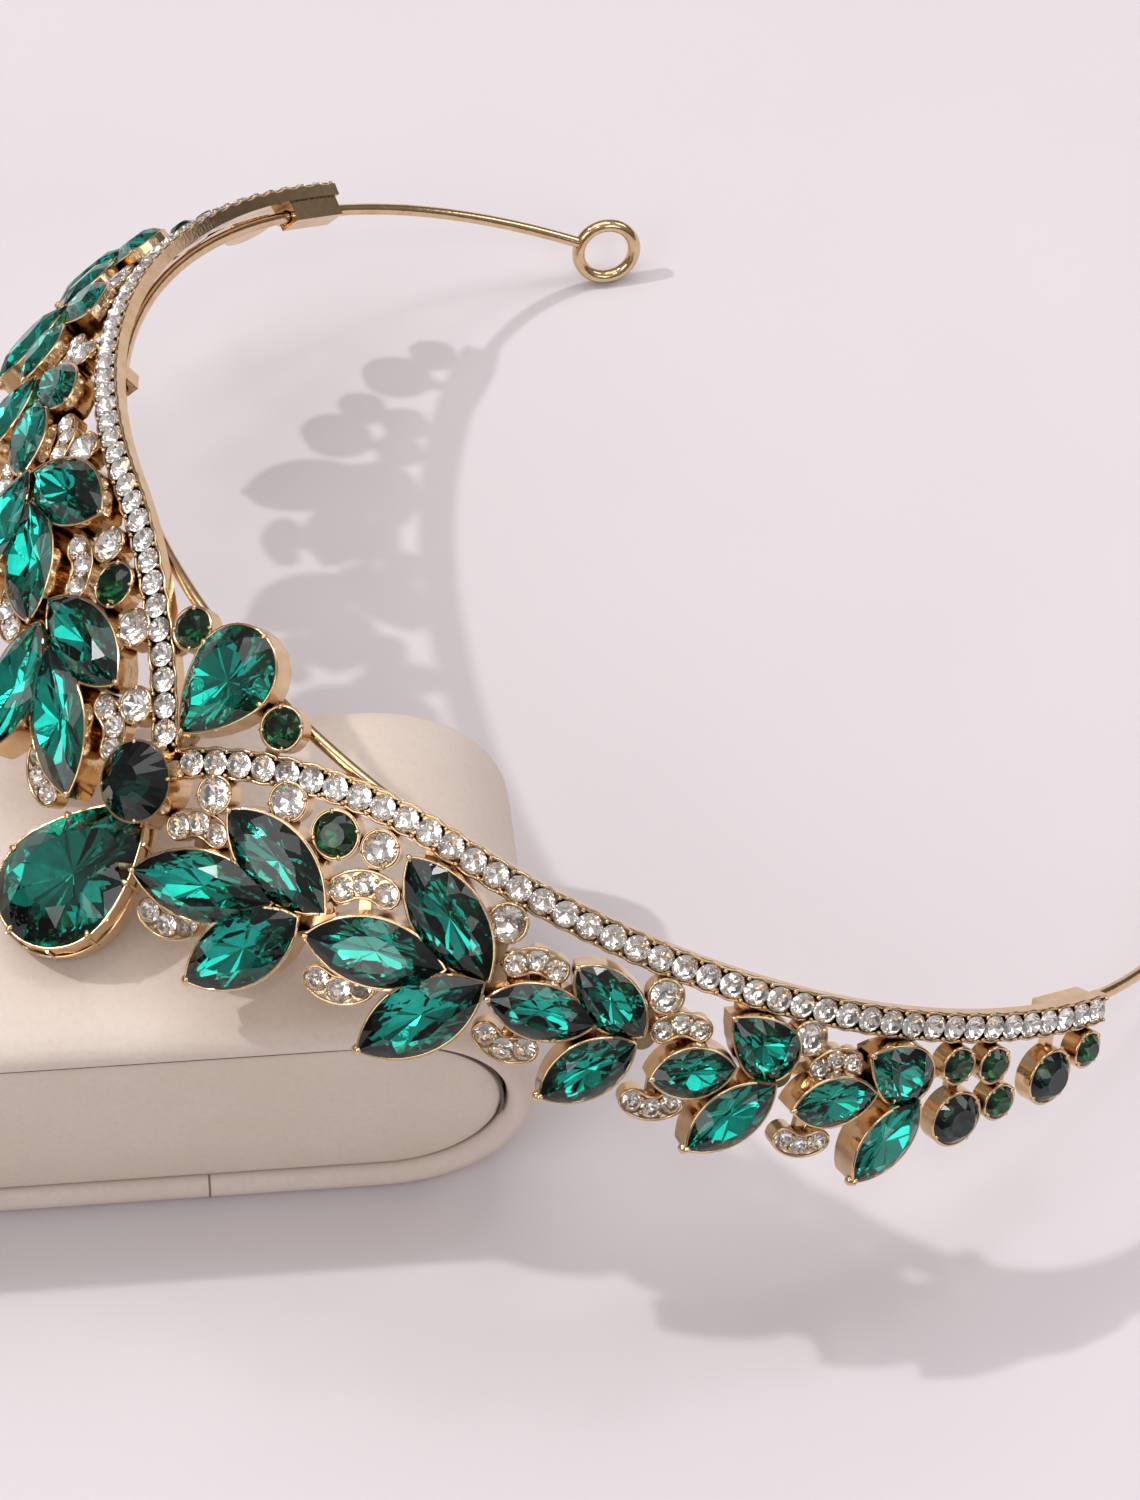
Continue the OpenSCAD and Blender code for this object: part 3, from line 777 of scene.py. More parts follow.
def run_recipe(tree: bpy.types.NodeTree, source: bpy.types.Mesh, name: str,
               values: dict[str, object]) -> Piece:
    """Runs a recipe on a mesh and keeps its result as a plain mesh.

    Args:
        tree: the recipe.
        source: mesh of points or edges that it works on.
        name: name of the finished piece.
        values: value of each named input.

    Returns:
        The finished piece, at the origin, with no modifier.
    """
    scene = bpy.context.scene
    carrier = bpy.data.objects.new(f"{name}_carrier", source)
    scene.collection.objects.link(carrier)
    recipe = carrier.modifiers.new("recipe", "NODES")
    recipe.node_group = tree
    for key, value in values.items():
        recipe[input_id(tree, key)] = value
    graph = bpy.context.evaluated_depsgraph_get()
    mesh = bpy.data.meshes.new_from_object(carrier.evaluated_get(graph), depsgraph=graph)
    mesh.name = name
    carrier.modifiers.remove(recipe)
    bpy.data.objects.remove(carrier)
    piece = bpy.data.objects.new(name, mesh)
    scene.collection.objects.link(piece)
    return piece


@dataclass
class Scatter:
    """Sets one shape on many places, each with its own turn and size."""

    name: str
    shape: bpy.types.Mesh
    crown: Material
    foil: Material
    spin: float = 0.0
    rock: float = 0.0
    seed: int = 7
    smooth: bool = False
    spots: list[tuple[Matrix, Vector]] = field(default_factory=list)

    def put(self, place: Matrix, size: Sequence[float]) -> None:
        """Adds one place, with its size along the place's own axes in millimetres."""
        self.spots.append((place, Vector(size) * MM))

    def recipe(self) -> bpy.types.NodeTree:
        """Builds the tree that sets the shape on every point."""
        recipe = Recipe(f"{self.name}_recipe", (
            TreeInput("Shape", "NodeSocketObject"),
            TreeInput("Spin", "NodeSocketFloat", self.spin),
            TreeInput("Rock", "NodeSocketFloat", self.rock),
            TreeInput("Seed", "NodeSocketInt", self.seed),
            TreeInput("Crown Finish", "NodeSocketMaterial"),
            TreeInput("Foil Finish", "NodeSocketMaterial"),
        ))
        given = recipe.given
        turn = recipe.turned(recipe.named("QUATERNION", "turn"), "Spin", SPIN_AXIS)
        turn = recipe.turned(turn, "Rock", ROCK_AXIS)
        source = recipe.add("GeometryNodeObjectInfo", Object=given["Shape"])
        spread = recipe.add("GeometryNodeInstanceOnPoints", Points=given["Geometry"],
                            Instance=source.outputs["Geometry"], Rotation=turn,
                            Scale=recipe.named("FLOAT_VECTOR", "size"))
        real = recipe.add("GeometryNodeRealizeInstances", Geometry=spread.outputs["Instances"])
        crown = recipe.add("GeometryNodeSetMaterial", Geometry=real.outputs["Geometry"],
                           Material=given["Crown Finish"])
        return recipe.finish(recipe.add(
            "GeometryNodeSetMaterial", Geometry=crown.outputs["Geometry"],
            Selection=recipe.named("BOOLEAN", "foiled"), Material=given["Foil Finish"]))

    def build(self) -> Piece:
        """Runs the recipe.

        Returns:
            One piece that holds every copy of the shape.
        """
        points = bpy.data.meshes.new(f"{self.name}_points")
        points.from_pydata([place.translation for place, _ in self.spots], [], [])
        turns = [c for place, _ in self.spots for c in place.to_quaternion()]
        sizes = [c for _, size in self.spots for c in size]
        points.attributes.new("turn", "QUATERNION", "POINT").data.foreach_set("value", turns)
        points.attributes.new("size", "FLOAT_VECTOR", "POINT").data.foreach_set("vector", sizes)
        shape = bpy.data.objects.new(f"{self.name}_shape", self.shape)
        bpy.context.scene.collection.objects.link(shape)
        piece = run_recipe(self.recipe(), points, self.name, {
            "Shape": shape, "Spin": self.spin, "Rock": self.rock, "Seed": self.seed,
            "Crown Finish": self.crown, "Foil Finish": self.foil})
        bpy.data.objects.remove(shape)
        if self.smooth:
            piece.data.polygons.foreach_set("use_smooth", [True] * len(piece.data.polygons))
        return piece


@dataclass
class RoundWire:
    """Runs a round wire along many lines of points."""

    name: str
    finish: Material
    radius: float
    sides: int = 8
    lines: list[tuple[list[Vector], bool]] = field(default_factory=list)

    def run(self, points: list[Vector], closed: bool = False) -> None:
        """Adds one line of places in metres."""
        if len(points) > 1:
            self.lines.append((points, closed))

    def recipe(self) -> bpy.types.NodeTree:
        """Builds the tree that sweeps the wire."""
        recipe = Recipe(f"{self.name}_recipe", (
            TreeInput("Radius", "NodeSocketFloat", self.radius * MM),
            TreeInput("Sides", "NodeSocketInt", self.sides),
            TreeInput("Finish", "NodeSocketMaterial"),
        ))
        given = recipe.given
        path = recipe.add("GeometryNodeMeshToCurve", Mesh=given["Geometry"])
        ring = recipe.add("GeometryNodeCurvePrimitiveCircle", Radius=given["Radius"],
                          Resolution=given["Sides"])
        sweep = recipe.add("GeometryNodeCurveToMesh", Fill_Caps=True,
                           Curve=path.outputs["Curve"], Profile_Curve=ring.outputs["Curve"])
        real = recipe.add("GeometryNodeRealizeInstances", Geometry=sweep.outputs["Mesh"])
        return recipe.finish(recipe.add("GeometryNodeSetMaterial", Material=given["Finish"],
                                        Geometry=real.outputs["Geometry"]))

    def build(self) -> Piece:
        """Runs the recipe.

        Returns:
            One piece that holds every wire.
        """
        points: list[Vector] = []
        edges: list[tuple[int, int]] = []
        for line, closed in self.lines:
            first = len(points)
            points += line
            edges += [(first + i, first + i + 1) for i in range(len(line) - 1)]
            if closed:
                edges.append((first + len(line) - 1, first))
        paths = bpy.data.meshes.new(f"{self.name}_paths")
        paths.from_pydata(points, edges, [])
        piece = run_recipe(self.recipe(), paths, self.name, {
            "Radius": self.radius * MM, "Sides": self.sides, "Finish": self.finish})
        piece.data.polygons.foreach_set("use_smooth", [True] * len(piece.data.polygons))
        return piece


def unit_bead(name: str, rings: int = 6, sides: int = 10) -> bpy.types.Mesh:
    """A round bead of unit diameter."""
    points = [Vector((0, 0, 0.5))]
    for i in range(1, rings):
        polar = math.pi * i / rings
        points += [around(2 * math.pi * k / sides, 0.5 * math.sin(polar))
                   + Vector((0, 0, 0.5 * math.cos(polar))) for k in range(sides)]
    points.append(Vector((0, 0, -0.5)))
    last = len(points) - 1
    faces: list[tuple[int, ...]] = []
    for k in range(sides):
        j = (k + 1) % sides
        faces.append((0, 1 + k, 1 + j))
        for i in range(rings - 2):
            a, b = 1 + i * sides, 1 + (i + 1) * sides
            faces.append((a + k, b + k, b + j, a + j))
        faces.append((last, 1 + (rings - 2) * sides + j, 1 + (rings - 2) * sides + k))
    return plain_mesh(name, points, faces)


def plain_mesh(name: str, points: Sequence[Vector], faces: Sequence[tuple[int, ...]]
               ) -> bpy.types.Mesh:
    """A mesh of the given points and faces."""
    mesh = bpy.data.meshes.new(name)
    mesh.from_pydata(points, [], faces)
    mesh.update()
    return mesh


def own_piece(name: str, mesh: bpy.types.Mesh, *finishes: Material) -> Piece:
    """Makes an object of a mesh, with its finishes in their slots."""
    piece = bpy.data.objects.new(name, mesh)
    for finish in finishes:
        mesh.materials.append(finish)
    bpy.context.scene.collection.objects.link(piece)
    return piece


def join_into(piece: Piece, more: Piece) -> None:
    """Joins a second piece, with its finishes, into the first."""
    with bpy.context.temp_override(active_object=piece, object=piece,
                                   selected_objects=[piece, more],
                                   selected_editable_objects=[piece, more]):
        bpy.ops.object.join()


def keep(piece: Piece, slot: Slot, *nodes: str) -> Piece:
    """Hands a piece to the frame.

    Args:
        piece: the finished piece.
        slot: the record's slot that it belongs to; not used.
        nodes: solids that it stands for, if any.

    Returns:
        The piece.
    """
    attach(piece, "root")
    if nodes:
        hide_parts(*nodes)
    LOG.info("%s: %d faces", piece.name, len(piece.data.polygons))
    return piece


# Sub-assemblies


@dataclass
class LeafStones:
    """The navette and pear stones that each have a cup of their own."""

    finishes: Finishes
    rise: float = 0.12
    overhang: float = 0.34

    def stone(self, setting: Setting, side: Side, node: str, pair: Pair, slot: Slot) -> Piece:
        """Cuts one stone and lays it in its cup.

        Args:
            setting: the stone.
            side: the half that it is on.
            node: the solid that it stands for.
            pair: glass and foil.
            slot: the record's slot.

        Returns:
            The piece.
        """
        wide = replace(setting, length=setting.length + 2 * self.overhang,
                       width=setting.width + 2 * self.overhang)
        mesh = CutStone(wide, wedges=setting.cut is Cut.ROUND).mesh(f"{node}_cut")
        mesh.transform(setting.place(self.rise, side))
        return keep(own_piece(f"cut_{node}", mesh, *pair), slot, node)

    def build(self) -> None:
        """Cuts every stone that has a node of its own."""
        for side in Side:
            for row in LEAVES:
                self.stone(row, side, f"leaf_{row.name}_{side.value}", self.finishes.leaf,
                           Slot.GREEN)
        self.stone(BIG_PEAR, Side.LEFT, "big_pear_stone", self.finishes.pear, Slot.DEEP_GREEN)
        self.stone(LOW_PEAR, Side.LEFT, "low_pear_stone", self.finishes.leaf, Slot.GREEN)
        self.stone(PEAK_ROUND, Side.LEFT, "peak_round_stone", self.finishes.deep,
                   Slot.DEEP_GREEN)


@dataclass(frozen=True)
class StoneRail:
    """The row of small stones that climbs to the peak."""

    pitch: float = 2.8
    count: int = 42
    stone_d: float = 2.4
    first: float = 3.4
    rail_v: float = 0.8
    climb_r: float = 39.5
    climb_u: float = 30.0
    top: float = 0.6

    def spot(self, s: float) -> Triple:
        """Place on the rail at distance s from the centre line.

        Args:
            s: distance along the rail.

        Returns:
            u, v and the turn of the rail there, in degrees.
        """
        peak = math.asin(self.climb_u / self.climb_r)
        climb = max(peak - s / self.climb_r, 0.0)
        total = self.climb_r * peak
        if s < total:
            u = self.climb_u - self.climb_r * math.sin(climb)
        else:
            u = self.climb_u + s - total
        return u, self.rail_v + self.climb_r * (1 - math.cos(climb)), -math.degrees(climb)

    def stones(self) -> list[Triple]:
        """Places of all the stones of one side."""
        return [self.spot(self.first + i * self.pitch) for i in range(self.count)]

    def gaps(self) -> list[Triple]:
        """Places halfway between neighbouring stones."""
        return [self.spot(self.first + (i + 0.5) * self.pitch) for i in range(-1, self.count)]


def crescent_spots(row: Crescent) -> list[Vector]:
    """Places of a crescent's three stones, measured from its middle one."""
    r, about = CRESCENT_RING * row[3], math.radians(row[2])
    return [around(about + k * CRESCENT_STEP, r) - around(about, r) for k in (-1, 0, 1)]


@dataclass
class StoneFields:
    """The small stones that share a node: the rail, the crescents and the single rounds."""

    finishes: Finishes
    rail: StoneRail = field(default_factory=StoneRail)
    rail_lift: float = 0.1
    rail_over: float = 0.48
    crescent_h: float = 1.05
    crescent_grow: float = 1.17
    round_h: float = 1.28
    round_over: float = 0.45
    dark_over: float = 5.0
    rail_seed: int = 11
    crescent_seed: int = 21
    round_seed: int = 31
    dark_seed: int = 41
    spin: float = 0.8
    rock: float = 0.06

    def scatter(self, name: str, mains: int, pair: Pair, seed: int) -> Scatter:
        """Starts a field of round stones of unit diameter."""
        cut = Setting(name, Cut.ROUND, u=0, v=0, length=1, width=1, turn=0, rim=0,
                      crown=0.21, pavilion=0.33, mains=mains, table=0.56)
        stone = CutStone(cut, girdle=0.03, pavilion_ratio=(0.4, 0.4)).mesh(f"{name}_cut")
        return Scatter(name, stone, *pair, spin=self.spin, rock=self.rock, seed=seed)

    def build(self) -> None:
        """Sets every field."""
        for number, side in enumerate(Side):
            end = side.value
            rail = self.scatter(f"rail_stones_{end}", 8, self.finishes.clear,
                                self.rail_seed + number)
            for u, v, turn in self.rail.stones():
                rail.put(PATTERN.place(u, v, self.rail.top + self.rail_lift, turn, side),
                         [self.rail.stone_d + self.rail_over] * 3)
            keep(rail.build(), Slot.CLEAR, f"rail_pave_{end}")
            small = self.scatter(f"crescent_set_{end}", 8, self.finishes.clear,
                                 self.crescent_seed + number)
            for row in CRESCENTS:
                place = PATTERN.place(row[0], row[1], self.crescent_h, 0, side)
                for spot in crescent_spots(row):
                    small.put(place @ Matrix.Translation(on_half(spot, side)),
                              [self.crescent_grow * row[3]] * 3)
            keep(small.build(), Slot.CLEAR, f"crescent_stones_{end}")
            for label, rows, pair, slot in (
                ("clear_rounds", CLEAR_ROUNDS, self.finishes.clear, Slot.CLEAR),
                ("green_rounds", GREEN_ROUNDS, self.finishes.grass, Slot.GREEN),
            ):
                rounds = self.scatter(f"{label}_set_{end}", 10, pair, self.round_seed + number)
                dark = self.scatter(f"{label}_dark_{end}", 12, self.finishes.deep,
                                    self.dark_seed + number)
                for u, v, d in rows:
                    field_of = dark if slot is Slot.GREEN and d > self.dark_over else rounds
                    field_of.put(PATTERN.place(u, v, self.round_h, 0, side),
                                 [d + self.round_over] * 3)
                piece = rounds.build()
                if dark.spots:
                    join_into(piece, dark.build())
                keep(piece, slot, f"{label}_{end}")


@dataclass
class GrainWork:
    """Rims, claws, collars and beads of the gilt casting."""

    finishes: Finishes
    rail: StoneRail = field(default_factory=StoneRail)
    seat_gap: float = 0.15
    cup_wall: float = 0.45
    ring: int = 96
    rim_ring: int = 64
    stone_ring: int = 48
    rim_r: float = 0.2
    rim_drop: float = 0.04
    neighbour_gap: float = 0.25
    neighbour_drop: float = 1.0
    prong_drops: tuple[float, ...] = (0.1, 1.1, 2.2, 3.3)
    prong_shares: tuple[float, ...] = (0.0, 0.1, 0.2, 0.33, 0.42, 0.5, 0.58, 0.67, 0.8, 0.9)
    crescent_r: float = 0.19
    crescent_h: float = 1.02
    crescent_out: float = 0.34
    crescent_in: float = 0.3
    horn_out: float = 0.32
    horn_turns: tuple[float, ...] = (0.5, 1.0, 1.5, 2.0, 2.5)
    edge_r: float = 0.17
    edge_out: float = 1.56
    edge_wave: float = 0.11
    edge_steps: int = 6
    bead_d: float = 0.56
    bead_rise: float = 0.22
    bead_out: float = 1.3
    small_bead_d: float = 0.55
    small_bead_h: float = 1.12
    small_bead_outs: tuple[float, ...] = (-0.36, 0.40)
    claw_sink: float = 0.12
    claw_width: float = 0.66
    four_claws: tuple[float, ...] = (0.125, 0.375, 0.625, 0.875)

    def cup_line(self, setting: Setting, count: int) -> list[Vector]:
        """Middle of a cup's wall, in the setting's own plane."""
        grow = 2 * self.seat_gap + self.cup_wall
        return stone_outline(setting.cut, setting.length + grow, setting.width + grow, count)

    def taken(self, setting: Setting, point: Vector) -> bool:
        """Whether a neighbour's stone lies where a rim would run.

        Args:
            setting: the cup whose rim it is.
            point: place on the rim, in the cup's own plane.

        Returns:
            True where the rim has to stop.
        """
        spin = Matrix.Rotation(math.radians(setting.turn), 3, "Z")
        flat = spin @ point + Vector((setting.u, setting.v, 0))
        for other in CUPS:
            if other is setting or other.rim < setting.rim - self.neighbour_drop:
                continue
            back = Matrix.Rotation(-math.radians(other.turn), 3, "Z")
            local = back @ (flat - Vector((other.u, other.v, 0)))
            length = other.length + 2 * self.neighbour_gap
            width = other.width + 2 * self.neighbour_gap
            if abs(local.x) > length / 2 or abs(local.y) > width / 2:
                continue
            edge = stone_outline(other.cut, length, width, self.stone_ring)
            inside = False
            for a, b in zip(edge, [*edge[1:], edge[0]]):
                if (a.y > local.y) != (b.y > local.y):
                    cross = a.x + (local.y - a.y) * (b.x - a.x) / (b.y - a.y)
                    inside ^= local.x < cross
            if inside:
                return True
        return False

    def stretches(self, spots: list[Vector], clear: list[bool]) -> Iterable[list[Vector]]:
        """Cuts a ring of places where it is not clear.

        Args:
            spots: places round the ring.
            clear: whether each place is free, with at least one that is not.

        Returns:
            Its stretches of free places, in order.
        """
        start = clear.index(False)
        chain: list[Vector] = []
        for k in range(1, len(spots) + 1):
            i = (start + k) % len(spots)
            if clear[i]:
                chain.append(spots[i])
            else:
                yield chain
                chain = []

    def rims(self) -> Piece:
        """Round lips along the tops of all the cups."""
        wire = RoundWire("cup_rims", self.finishes.gilt, self.rim_r)
        for setting in CUPS:
            if setting is PEAK_ROUND:
                continue
            line = self.cup_line(setting, self.rim_ring)
            clear = [not self.taken(setting, p) for p in line]
            for side in setting.sides():
                place = setting.place(-self.rim_drop, side)
                spots = [place @ on_half(p, side) for p in line]
                if all(clear):
                    wire.run(spots, closed=True)
                    continue
                for chain in self.stretches(spots, clear):
                    wire.run(chain)
        self.gallery(wire)
        return keep(wire.build(), Slot.GILT)

    def gallery(self, wire: RoundWire) -> None:
        """Prongs down the outside of the middle pear's cup, with a collar round them."""
        out = 1 + self.cup_wall / BIG_PEAR.width
        line = [out * p for p in self.cup_line(BIG_PEAR, self.ring)]
        places = [BIG_PEAR.place(-drop, Side.LEFT) for drop in self.prong_drops]
        rows = [[place @ p for p in line] for place in places]
        for share in self.prong_shares:
            wire.run([row[round(share * self.ring) % self.ring] for row in rows])
        wire.run(rows[2], closed=True)

    def crescent_line(self, row: Crescent) -> list[Vector]:
        """Outline of a crescent, measured from its middle stone."""
        _, _, turn, d = row
        r, about, step = CRESCENT_RING * d, math.radians(turn), CRESCENT_STEP
        centre = -around(about, r)
        outer, inner = r + d / 2 + self.crescent_out, r - d / 2 - self.crescent_in
        far, near = ([centre + around(about + sign * step, r)
                      + around(about + sign * (step + t), d / 2 + self.horn_out)
                      for t in self.horn_turns] for sign in (1, -1))
        return [*(centre + around(about + t * step / 6, outer) for t in range(-6, 7)), *far,
                *(centre + around(about + t * step / 4, inner) for t in range(4, -5, -1)),
                *reversed(near)]

    def crescent_rims(self) -> Piece:
        """Raised outlines of the crescents."""
        wire = RoundWire("crescent_rims", self.finishes.gilt, self.crescent_r)
        for row in CRESCENTS:
            line = self.crescent_line(row)
            for side in Side:
                place = PATTERN.place(row[0], row[1], self.crescent_h, 0, side)
                wire.run([place @ on_half(p, side) for p in line], closed=True)
        return keep(wire.build(), Slot.GILT)

    def rail_edges(self) -> Piece:
        """Scalloped edges along both sides of the rail."""
        wire = RoundWire("rail_edges", self.finishes.gilt, self.edge_r)
        rail, steps = self.rail, self.edge_steps
        start = rail.first - 0.5 * rail.pitch
        for side in Side:
            for edge in (-1, 1):
                line = []
                for i in range(rail.count * steps + 1):
                    u, v, turn = rail.spot(start + i * rail.pitch / steps)
                    wave = self.edge_wave * math.cos(2 * math.pi * (i / steps - 0.5))
                    line.append(PATTERN.place(u, v, rail.top, turn, side)
                                @ Vector((0, edge * (self.edge_out + wave), 0)))
                wire.run(line)
        return keep(wire.build(), Slot.GILT)

    def round_work(self, name: str, unit: str) -> Scatter:
        """Starts a field of smooth gilt beads of unit diameter."""
        gilt = self.finishes.gilt
        return Scatter(name, unit_bead(unit), gilt, gilt, smooth=True)

    def beads(self) -> Piece:
        """Grain beads of the rail and the crescents."""
        grain = self.round_work("grain_beads", "grain")
        for side in Side:
            for u, v, turn in self.rail.gaps():
                place = PATTERN.place(u, v, self.rail.top + self.bead_rise, turn, side)
                for across in (-self.bead_out, self.bead_out):
                    grain.put(place @ Matrix.Translation((0, across, 0)), [self.bead_d] * 3)
            for row in CRESCENTS:
                place = PATTERN.place(row[0], row[1], self.small_bead_h, 0, side)
                spots = crescent_spots(row)
                out = around(math.radians(row[2]), row[3])
                for a, b in zip(spots, spots[1:]):
                    for share in self.small_bead_outs:
                        spot = on_half((a + b) / 2 + share * out, side)
                        grain.put(place @ Matrix.Translation(spot), [self.small_bead_d] * 3)
        return keep(grain.build(), Slot.GILT)

    def claw_row(self, claws: Scatter, setting: Setting, shares: Iterable[float], size: float
                 ) -> None:
        """Adds claws at some shares of the way round a cup.

        Args:
            claws: the scatter that takes them.
            setting: the cup.
            shares: places round its outline, from 0 to 1, starting at its +x end.
            size: length of a claw.
        """
        line = self.cup_line(setting, self.ring)
        sink, width = self.claw_sink * size, self.claw_width * size
        for share in shares:
            p = line[round(share * self.ring) % self.ring]
            inward = -p.normalized()
            for side in setting.sides():
                seat, way = on_half(p + sink * inward, side), on_half(inward, side)
                claws.put(setting.place(sink, side) @ Matrix.Translation(seat)
                          @ Matrix.Rotation(math.atan2(way.y, way.x), 4, "Z"),
                          (size, width, width))

    def claws(self) -> Piece:
        """Claws that hold the stones in their cups."""
        claws = self.round_work("claws", "claw")
        for row in LEAVES:
            self.claw_row(claws, row, (0.5,), 1.0)
        self.claw_row(claws, BIG_PEAR, (0.0, 0.2, 0.33, 0.5, 0.67, 0.8), 1.25)
        self.claw_row(claws, LOW_PEAR, (0.0, 0.22, 0.5, 0.78), 1.1)
        self.claw_row(claws, PEAK_ROUND, self.four_claws, 0.75)
        for row in ROUNDS:
            self.claw_row(claws, row, self.four_claws, 0.8)
        return keep(claws.build(), Slot.GILT)

    def build(self) -> None:
        """Makes all the grain work."""
        self.rims()
        self.crescent_rims()
        self.rail_edges()
        self.beads()
        self.claws()


@dataclass
class DisplayBlock:
    """Padded block: a wrap of leather round a core whose end panels sit a little inside."""

    finishes: Finishes
    length: float = 110.0
    depth: float = 43.7
    height: float = 35.2
    wrap: float = 4.2
    gap: float = 0.3
    inset: float = 2.0
    turn: float = 58.0
    middle: tuple[float, float] = (-5.1, -34.5)
    puff: float = 0.95
    seam_x: float = 17.5
    seam_r: float = 0.13
    seam_sink: float = 0.02
    # Size and place of the dark strand of painted shadow along the panels' upper joint.
    shadow_strand_r: float = 0.16
    shadow_strand_inset: float = 0.5
    shadow_strand_low: float = -5.0
    crown: Section = ((0.0, 0.0), (0.55, 0.02))
    outer_lip: Section = ((4.2, 0.10), (2.4, 0.30), (1.3, 0.72), (0.6, 1.25), (0.2, 1.85),
                          (0.0, 2.5))
    inner_lip: Section = ((0.1, 1.1), (0.4, 0.6), (0.9, 0.2), (1.6, 0.0), (4.6, 0.0))
    panel_bend: Section = ((4.0, 0.0), (1.5, 0.0), (0.9, 0.10), (0.45, 0.35), (0.18, 0.8),
                           (0.04, 1.6), (-0.06, 3.2), (-0.14, 6.0), (-0.16, 8.0))
    flat_corners: int = 8

    def place(self) -> Matrix:
        """Matrix from the block's own millimetres to metres on the table."""
        return (Matrix.Scale(MM, 4)
                @ Matrix.Translation((*self.middle, self.height / 2))
                @ Matrix.Rotation(math.radians(self.turn), 4, "Z"))

    def rim_spots(self, count: int = 220) -> list[tuple[Vector, Vector]]:
        """Places round the upright outline with their outward directions."""
        r = self.height / 2
        half = self.length / 2 - r
        straight, arc = 2 * half, math.pi * r
        total = 2 * (straight + arc)
        spots = []
        for i in range(count):
            s = total * i / count
            if s < straight:
                spots.append((Vector((-half + s, 0, -r)), Vector((0, 0, -1))))
                continue
            s -= straight
            if s < arc:
                out = Vector((math.sin(s / r), 0, -math.cos(s / r)))
                spots.append((Vector((half, 0, 0)) + r * out, out))
                continue
            s -= arc
            if s < straight:
                spots.append((Vector((half - s, 0, r)), Vector((0, 0, 1))))
                continue
            s -= straight
            out = Vector((-math.sin(s / r), 0, math.cos(s / r)))
            spots.append((Vector((-half, 0, 0)) + r * out, out))
        return spots

    def loft(self, section: Section, closed: bool, name: str) -> bpy.types.Mesh:
        """Carries a section round the outline.

        Args:
            section: depth along the block and inset from its outline, point by point.
            closed: whether the section is a closed ring, or a line that two flat ends close.
            name: name of the mesh.

        Returns:
            A closed mesh.
        """
        spots = self.rim_spots()
        points = [p + Vector((0, y, 0)) - inset * out for p, out in spots for y, inset in section]
        wide, rows = len(section), len(spots)
        steps = wide if closed else wide - 1
        faces: list[tuple[int, ...]] = [
            (i * wide + j, i * wide + (j + 1) % wide,
             (i + 1) % rows * wide + (j + 1) % wide, (i + 1) % rows * wide + j)
            for i in range(rows) for j in range(steps)]
        if not closed:
            faces.append(tuple(i * wide for i in range(rows)))
            faces.append(tuple(i * wide + wide - 1 for i in reversed(range(rows))))
        mesh = plain_mesh(name, points, faces)
        mesh.transform(self.place())
        return mesh

    def build(self) -> None:
        """Makes the wrap and the core."""
        side, thick, base = self.depth / 2, self.wrap, self.wrap + self.gap
        face = side - self.inset + self.puff
        half = [(share * side, inset) for share, inset in self.crown]
        half += [(side - short, inset) for short, inset in self.outer_lip]
        half += [(side - short, thick - left) for short, left in self.inner_lip]
        front = [(face - short, base + inset) for short, inset in self.panel_bend]
        self.pad("padded_wrap", half + [(-y, inset) for y, inset in reversed(half[1:])], True,
                 self.finishes.wrap, Slot.WRAP, "block_wrap")
        self.pad("end_panels", front[::-1] + [(-y, inset) for y, inset in front], False,
                 self.finishes.panel, Slot.PANEL, "block_core")
        self.seam(half)
        # Painted shadow: a dark strand along the upper joint of the end panels.
        self.crease(face)

    def pad(self, name: str, section: Section, closed: bool,
            finish: Material, slot: Slot, node: str) -> None:
        """Makes one padded piece, shaded smooth save for its flat ends.

        Args:
            name: name of the piece.
            section: the section that is carried round the outline.
            closed: whether the section is a closed ring.
            finish: its leather.
            slot: the record's slot.
            node: the solid that it stands for.
        """
        piece = own_piece(name, self.loft(section, closed, name), finish)
        for face in piece.data.polygons:
            face.use_smooth = len(face.vertices) < self.flat_corners
        keep(piece, slot, node)

    def crease(self, face: float) -> None:
        """Lays a thin dark strand of painted shadow round the upper part of both end panels, where
        the lip shades the joint.

        Args:
            face: how far the panels stand from the block's middle.
        """
        # Painted shadow: a dark strand where the joint is only shaded.
        shadow_strand = RoundWire("panel_creases", self.finishes.crease, self.shadow_strand_r)
        place, inset = self.place(), self.wrap + self.shadow_strand_inset
        spots = [(p, out) for p, out in self.rim_spots() if p.z > self.shadow_strand_low]
        for sign in (-1, 1):
            shadow_strand.run([place @ (p + Vector((0, sign * (face - 0.5 * self.shadow_strand_r), 0))
                                 - inset * out) for p, out in spots])
        keep(shadow_strand.build(), Slot.PANEL)

    def seam(self, half: Section) -> None:
        """Sews the wrap's ends together across its underside.

        Args:
            half: section of the wrap, from its middle to its inner lip.
        """
        thread = RoundWire("wrap_seam", self.finishes.seam, self.seam_r)
        place, floor = self.place(), -self.height / 2
        for sign in (-1, 1):
            thread.run([place @ Vector((self.seam_x, sign * y, floor + inset - self.seam_sink))
                        for y, inset in half[2:-1]])
        keep(thread.build(), Slot.WRAP)


@dataclass
class Casting:
    """The solid gilt casting and the band wire, carried over with their finish."""

    finishes: Finishes

    def build(self) -> None:
        """Gives the gilt solids their finish."""
        for node in ("crest_casting", "band_wire"):
            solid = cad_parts[node]
            solid.data.materials.clear()
            solid.data.materials.append(self.finishes.gilt)
            LOG.info("%s carried over", node)


@dataclass(frozen=True)
class Card:
    """A square soft lamp: its place and side in metres, and its power."""

    name: str
    place: Triple
    power: float
    size: float


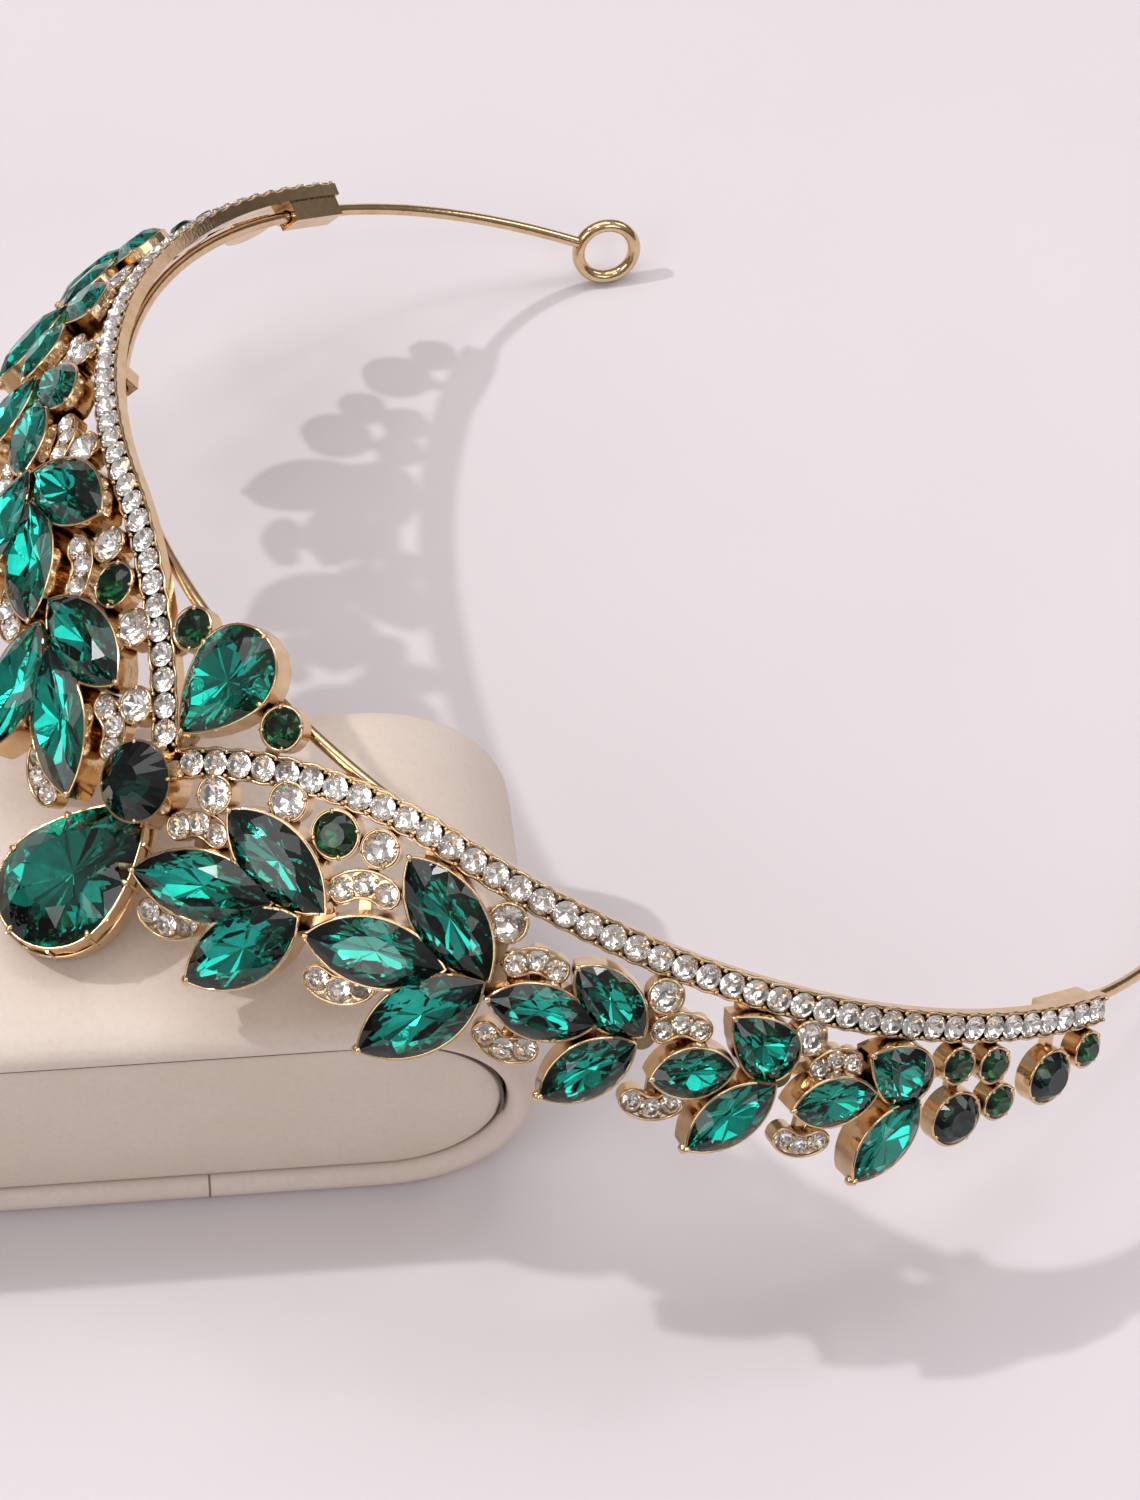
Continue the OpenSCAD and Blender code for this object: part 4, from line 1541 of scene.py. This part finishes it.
@dataclass(frozen=True)
class Studio:
    """Camera at the photograph's place, pale board and soft light."""

    eye: Triple = (294.80, -225.69, 587.75)
    ahead: Triple = (-0.41838, 0.37427, -0.82757)
    across: Triple = (0.61498, 0.78725, 0.04513)
    upward: Triple = (-0.66840, 0.49005, 0.55954)
    focal_px: float = 5939.0
    image_h: float = 1500.0
    sensor: float = 36.0
    clip_start: float = 0.01
    board_half: float = 3.0
    board_z: float = -0.0002
    key_way: Triple = (0.503, 0.395, -0.769)
    key_far: float = 1.5
    key_power: float = 1.03
    key_angle: float = math.radians(1.6)
    key_colour: Colour = (1.0, 0.97, 0.965)
    low_air: Colour = (0.08, 0.075, 0.075)
    high_air: Colour = (0.535, 0.515, 0.505)
    card_aim: Triple = (0, 0, 0.02)
    cards: tuple[Card, ...] = (
        Card("overhead", (-0.45, 0.15, 1.25), 4.2, 0.9),
        Card("window", (0.25, 1.15, 0.95), 2.6, 0.6),
        Card("near_card", (0.15, -1.1, 0.9), 3.8, 0.7),
        Card("right_card", (1.15, 0.05, 0.85), 1.6, 0.5),
        Card("spark_far", (-0.1, 0.5, 1.2), 0.8, 0.14),
        Card("spark_near", (0.45, -0.35, 1.15), 0.8, 0.14),
        Card("spark_left", (-0.5, -0.4, 1.0), 0.8, 0.14),
    )

    def camera(self) -> None:
        """Makes the camera."""
        data = bpy.data.cameras.new("camera")
        data.sensor_fit = "VERTICAL"
        data.sensor_height = self.sensor
        data.lens = self.sensor * self.focal_px / self.image_h
        data.clip_start = self.clip_start
        camera = bpy.data.objects.new("camera", data)
        axes = (self.across, self.upward, tuple(-c for c in self.ahead))
        turn = Matrix(axes).transposed().to_4x4()
        camera.matrix_world = Matrix.Translation(Vector(self.eye) * MM) @ turn
        bpy.context.scene.collection.objects.link(camera)
        bpy.context.scene.camera = camera

    def lamp(self, name: str, kind: str, place: Vector, aim: Vector, power: float
             ) -> bpy.types.Light:
        """Adds one lamp.

        Args:
            name: its name.
            kind: SUN or AREA.
            place: where it stands, in metres.
            aim: the point that it faces.
            power: its strength.

        Returns:
            Its light, for its size and colour.
        """
        data = bpy.data.lights.new(name, kind)
        data.energy = power
        lamp = bpy.data.objects.new(name, data)
        lamp.location = place
        lamp.rotation_euler = (aim - place).to_track_quat("-Z", "Y").to_euler()
        bpy.context.scene.collection.objects.link(lamp)
        return data

    def sky(self) -> None:
        """Makes a world that brightens from below to above."""
        world = bpy.data.worlds.new("studio_air")
        world.use_nodes = True
        air = NodeBench(world.node_tree)
        rise = air.add("ShaderNodeTexGradient")
        rise.texture_mapping.mapping_x = "Z"
        air.fill(world.node_tree.nodes["Background"],
                 Color=air.blend(rise.outputs["Fac"], self.low_air, self.high_air))
        bpy.context.scene.world = world

    def build(self) -> None:
        """Makes the board, the lamps and the camera."""
        corners = ((-1, -1), (1, -1), (1, 1), (-1, 1))
        board = plain_mesh("board", [Vector((self.board_half * x, self.board_half * y,
                                             self.board_z)) for x, y in corners], [(0, 1, 2, 3)])
        own_piece("board", board, FloorFinish().build())
        key = self.lamp("key", "SUN", -self.key_far * Vector(self.key_way), Vector((0, 0, 0)),
                        self.key_power)
        key.angle, key.color = self.key_angle, self.key_colour
        for card in self.cards:
            soft = self.lamp(card.name, "AREA", Vector(card.place), Vector(self.card_aim),
                             card.power)
            soft.shape, soft.size = "SQUARE", card.size
        self.sky()
        bpy.context.scene.view_settings.view_transform = "Standard"
        self.camera()


def main() -> None:
    """Builds the sub-assemblies in order."""
    logging.basicConfig(level=logging.INFO, format="%(name)s %(message)s")
    Studio().build()
    finishes = Finishes.mixed()
    Casting(finishes).build()
    LeafStones(finishes).build()
    StoneFields(finishes).build()
    GrainWork(finishes).build()
    DisplayBlock(finishes).build()


if __name__ == "__main__":
    main()
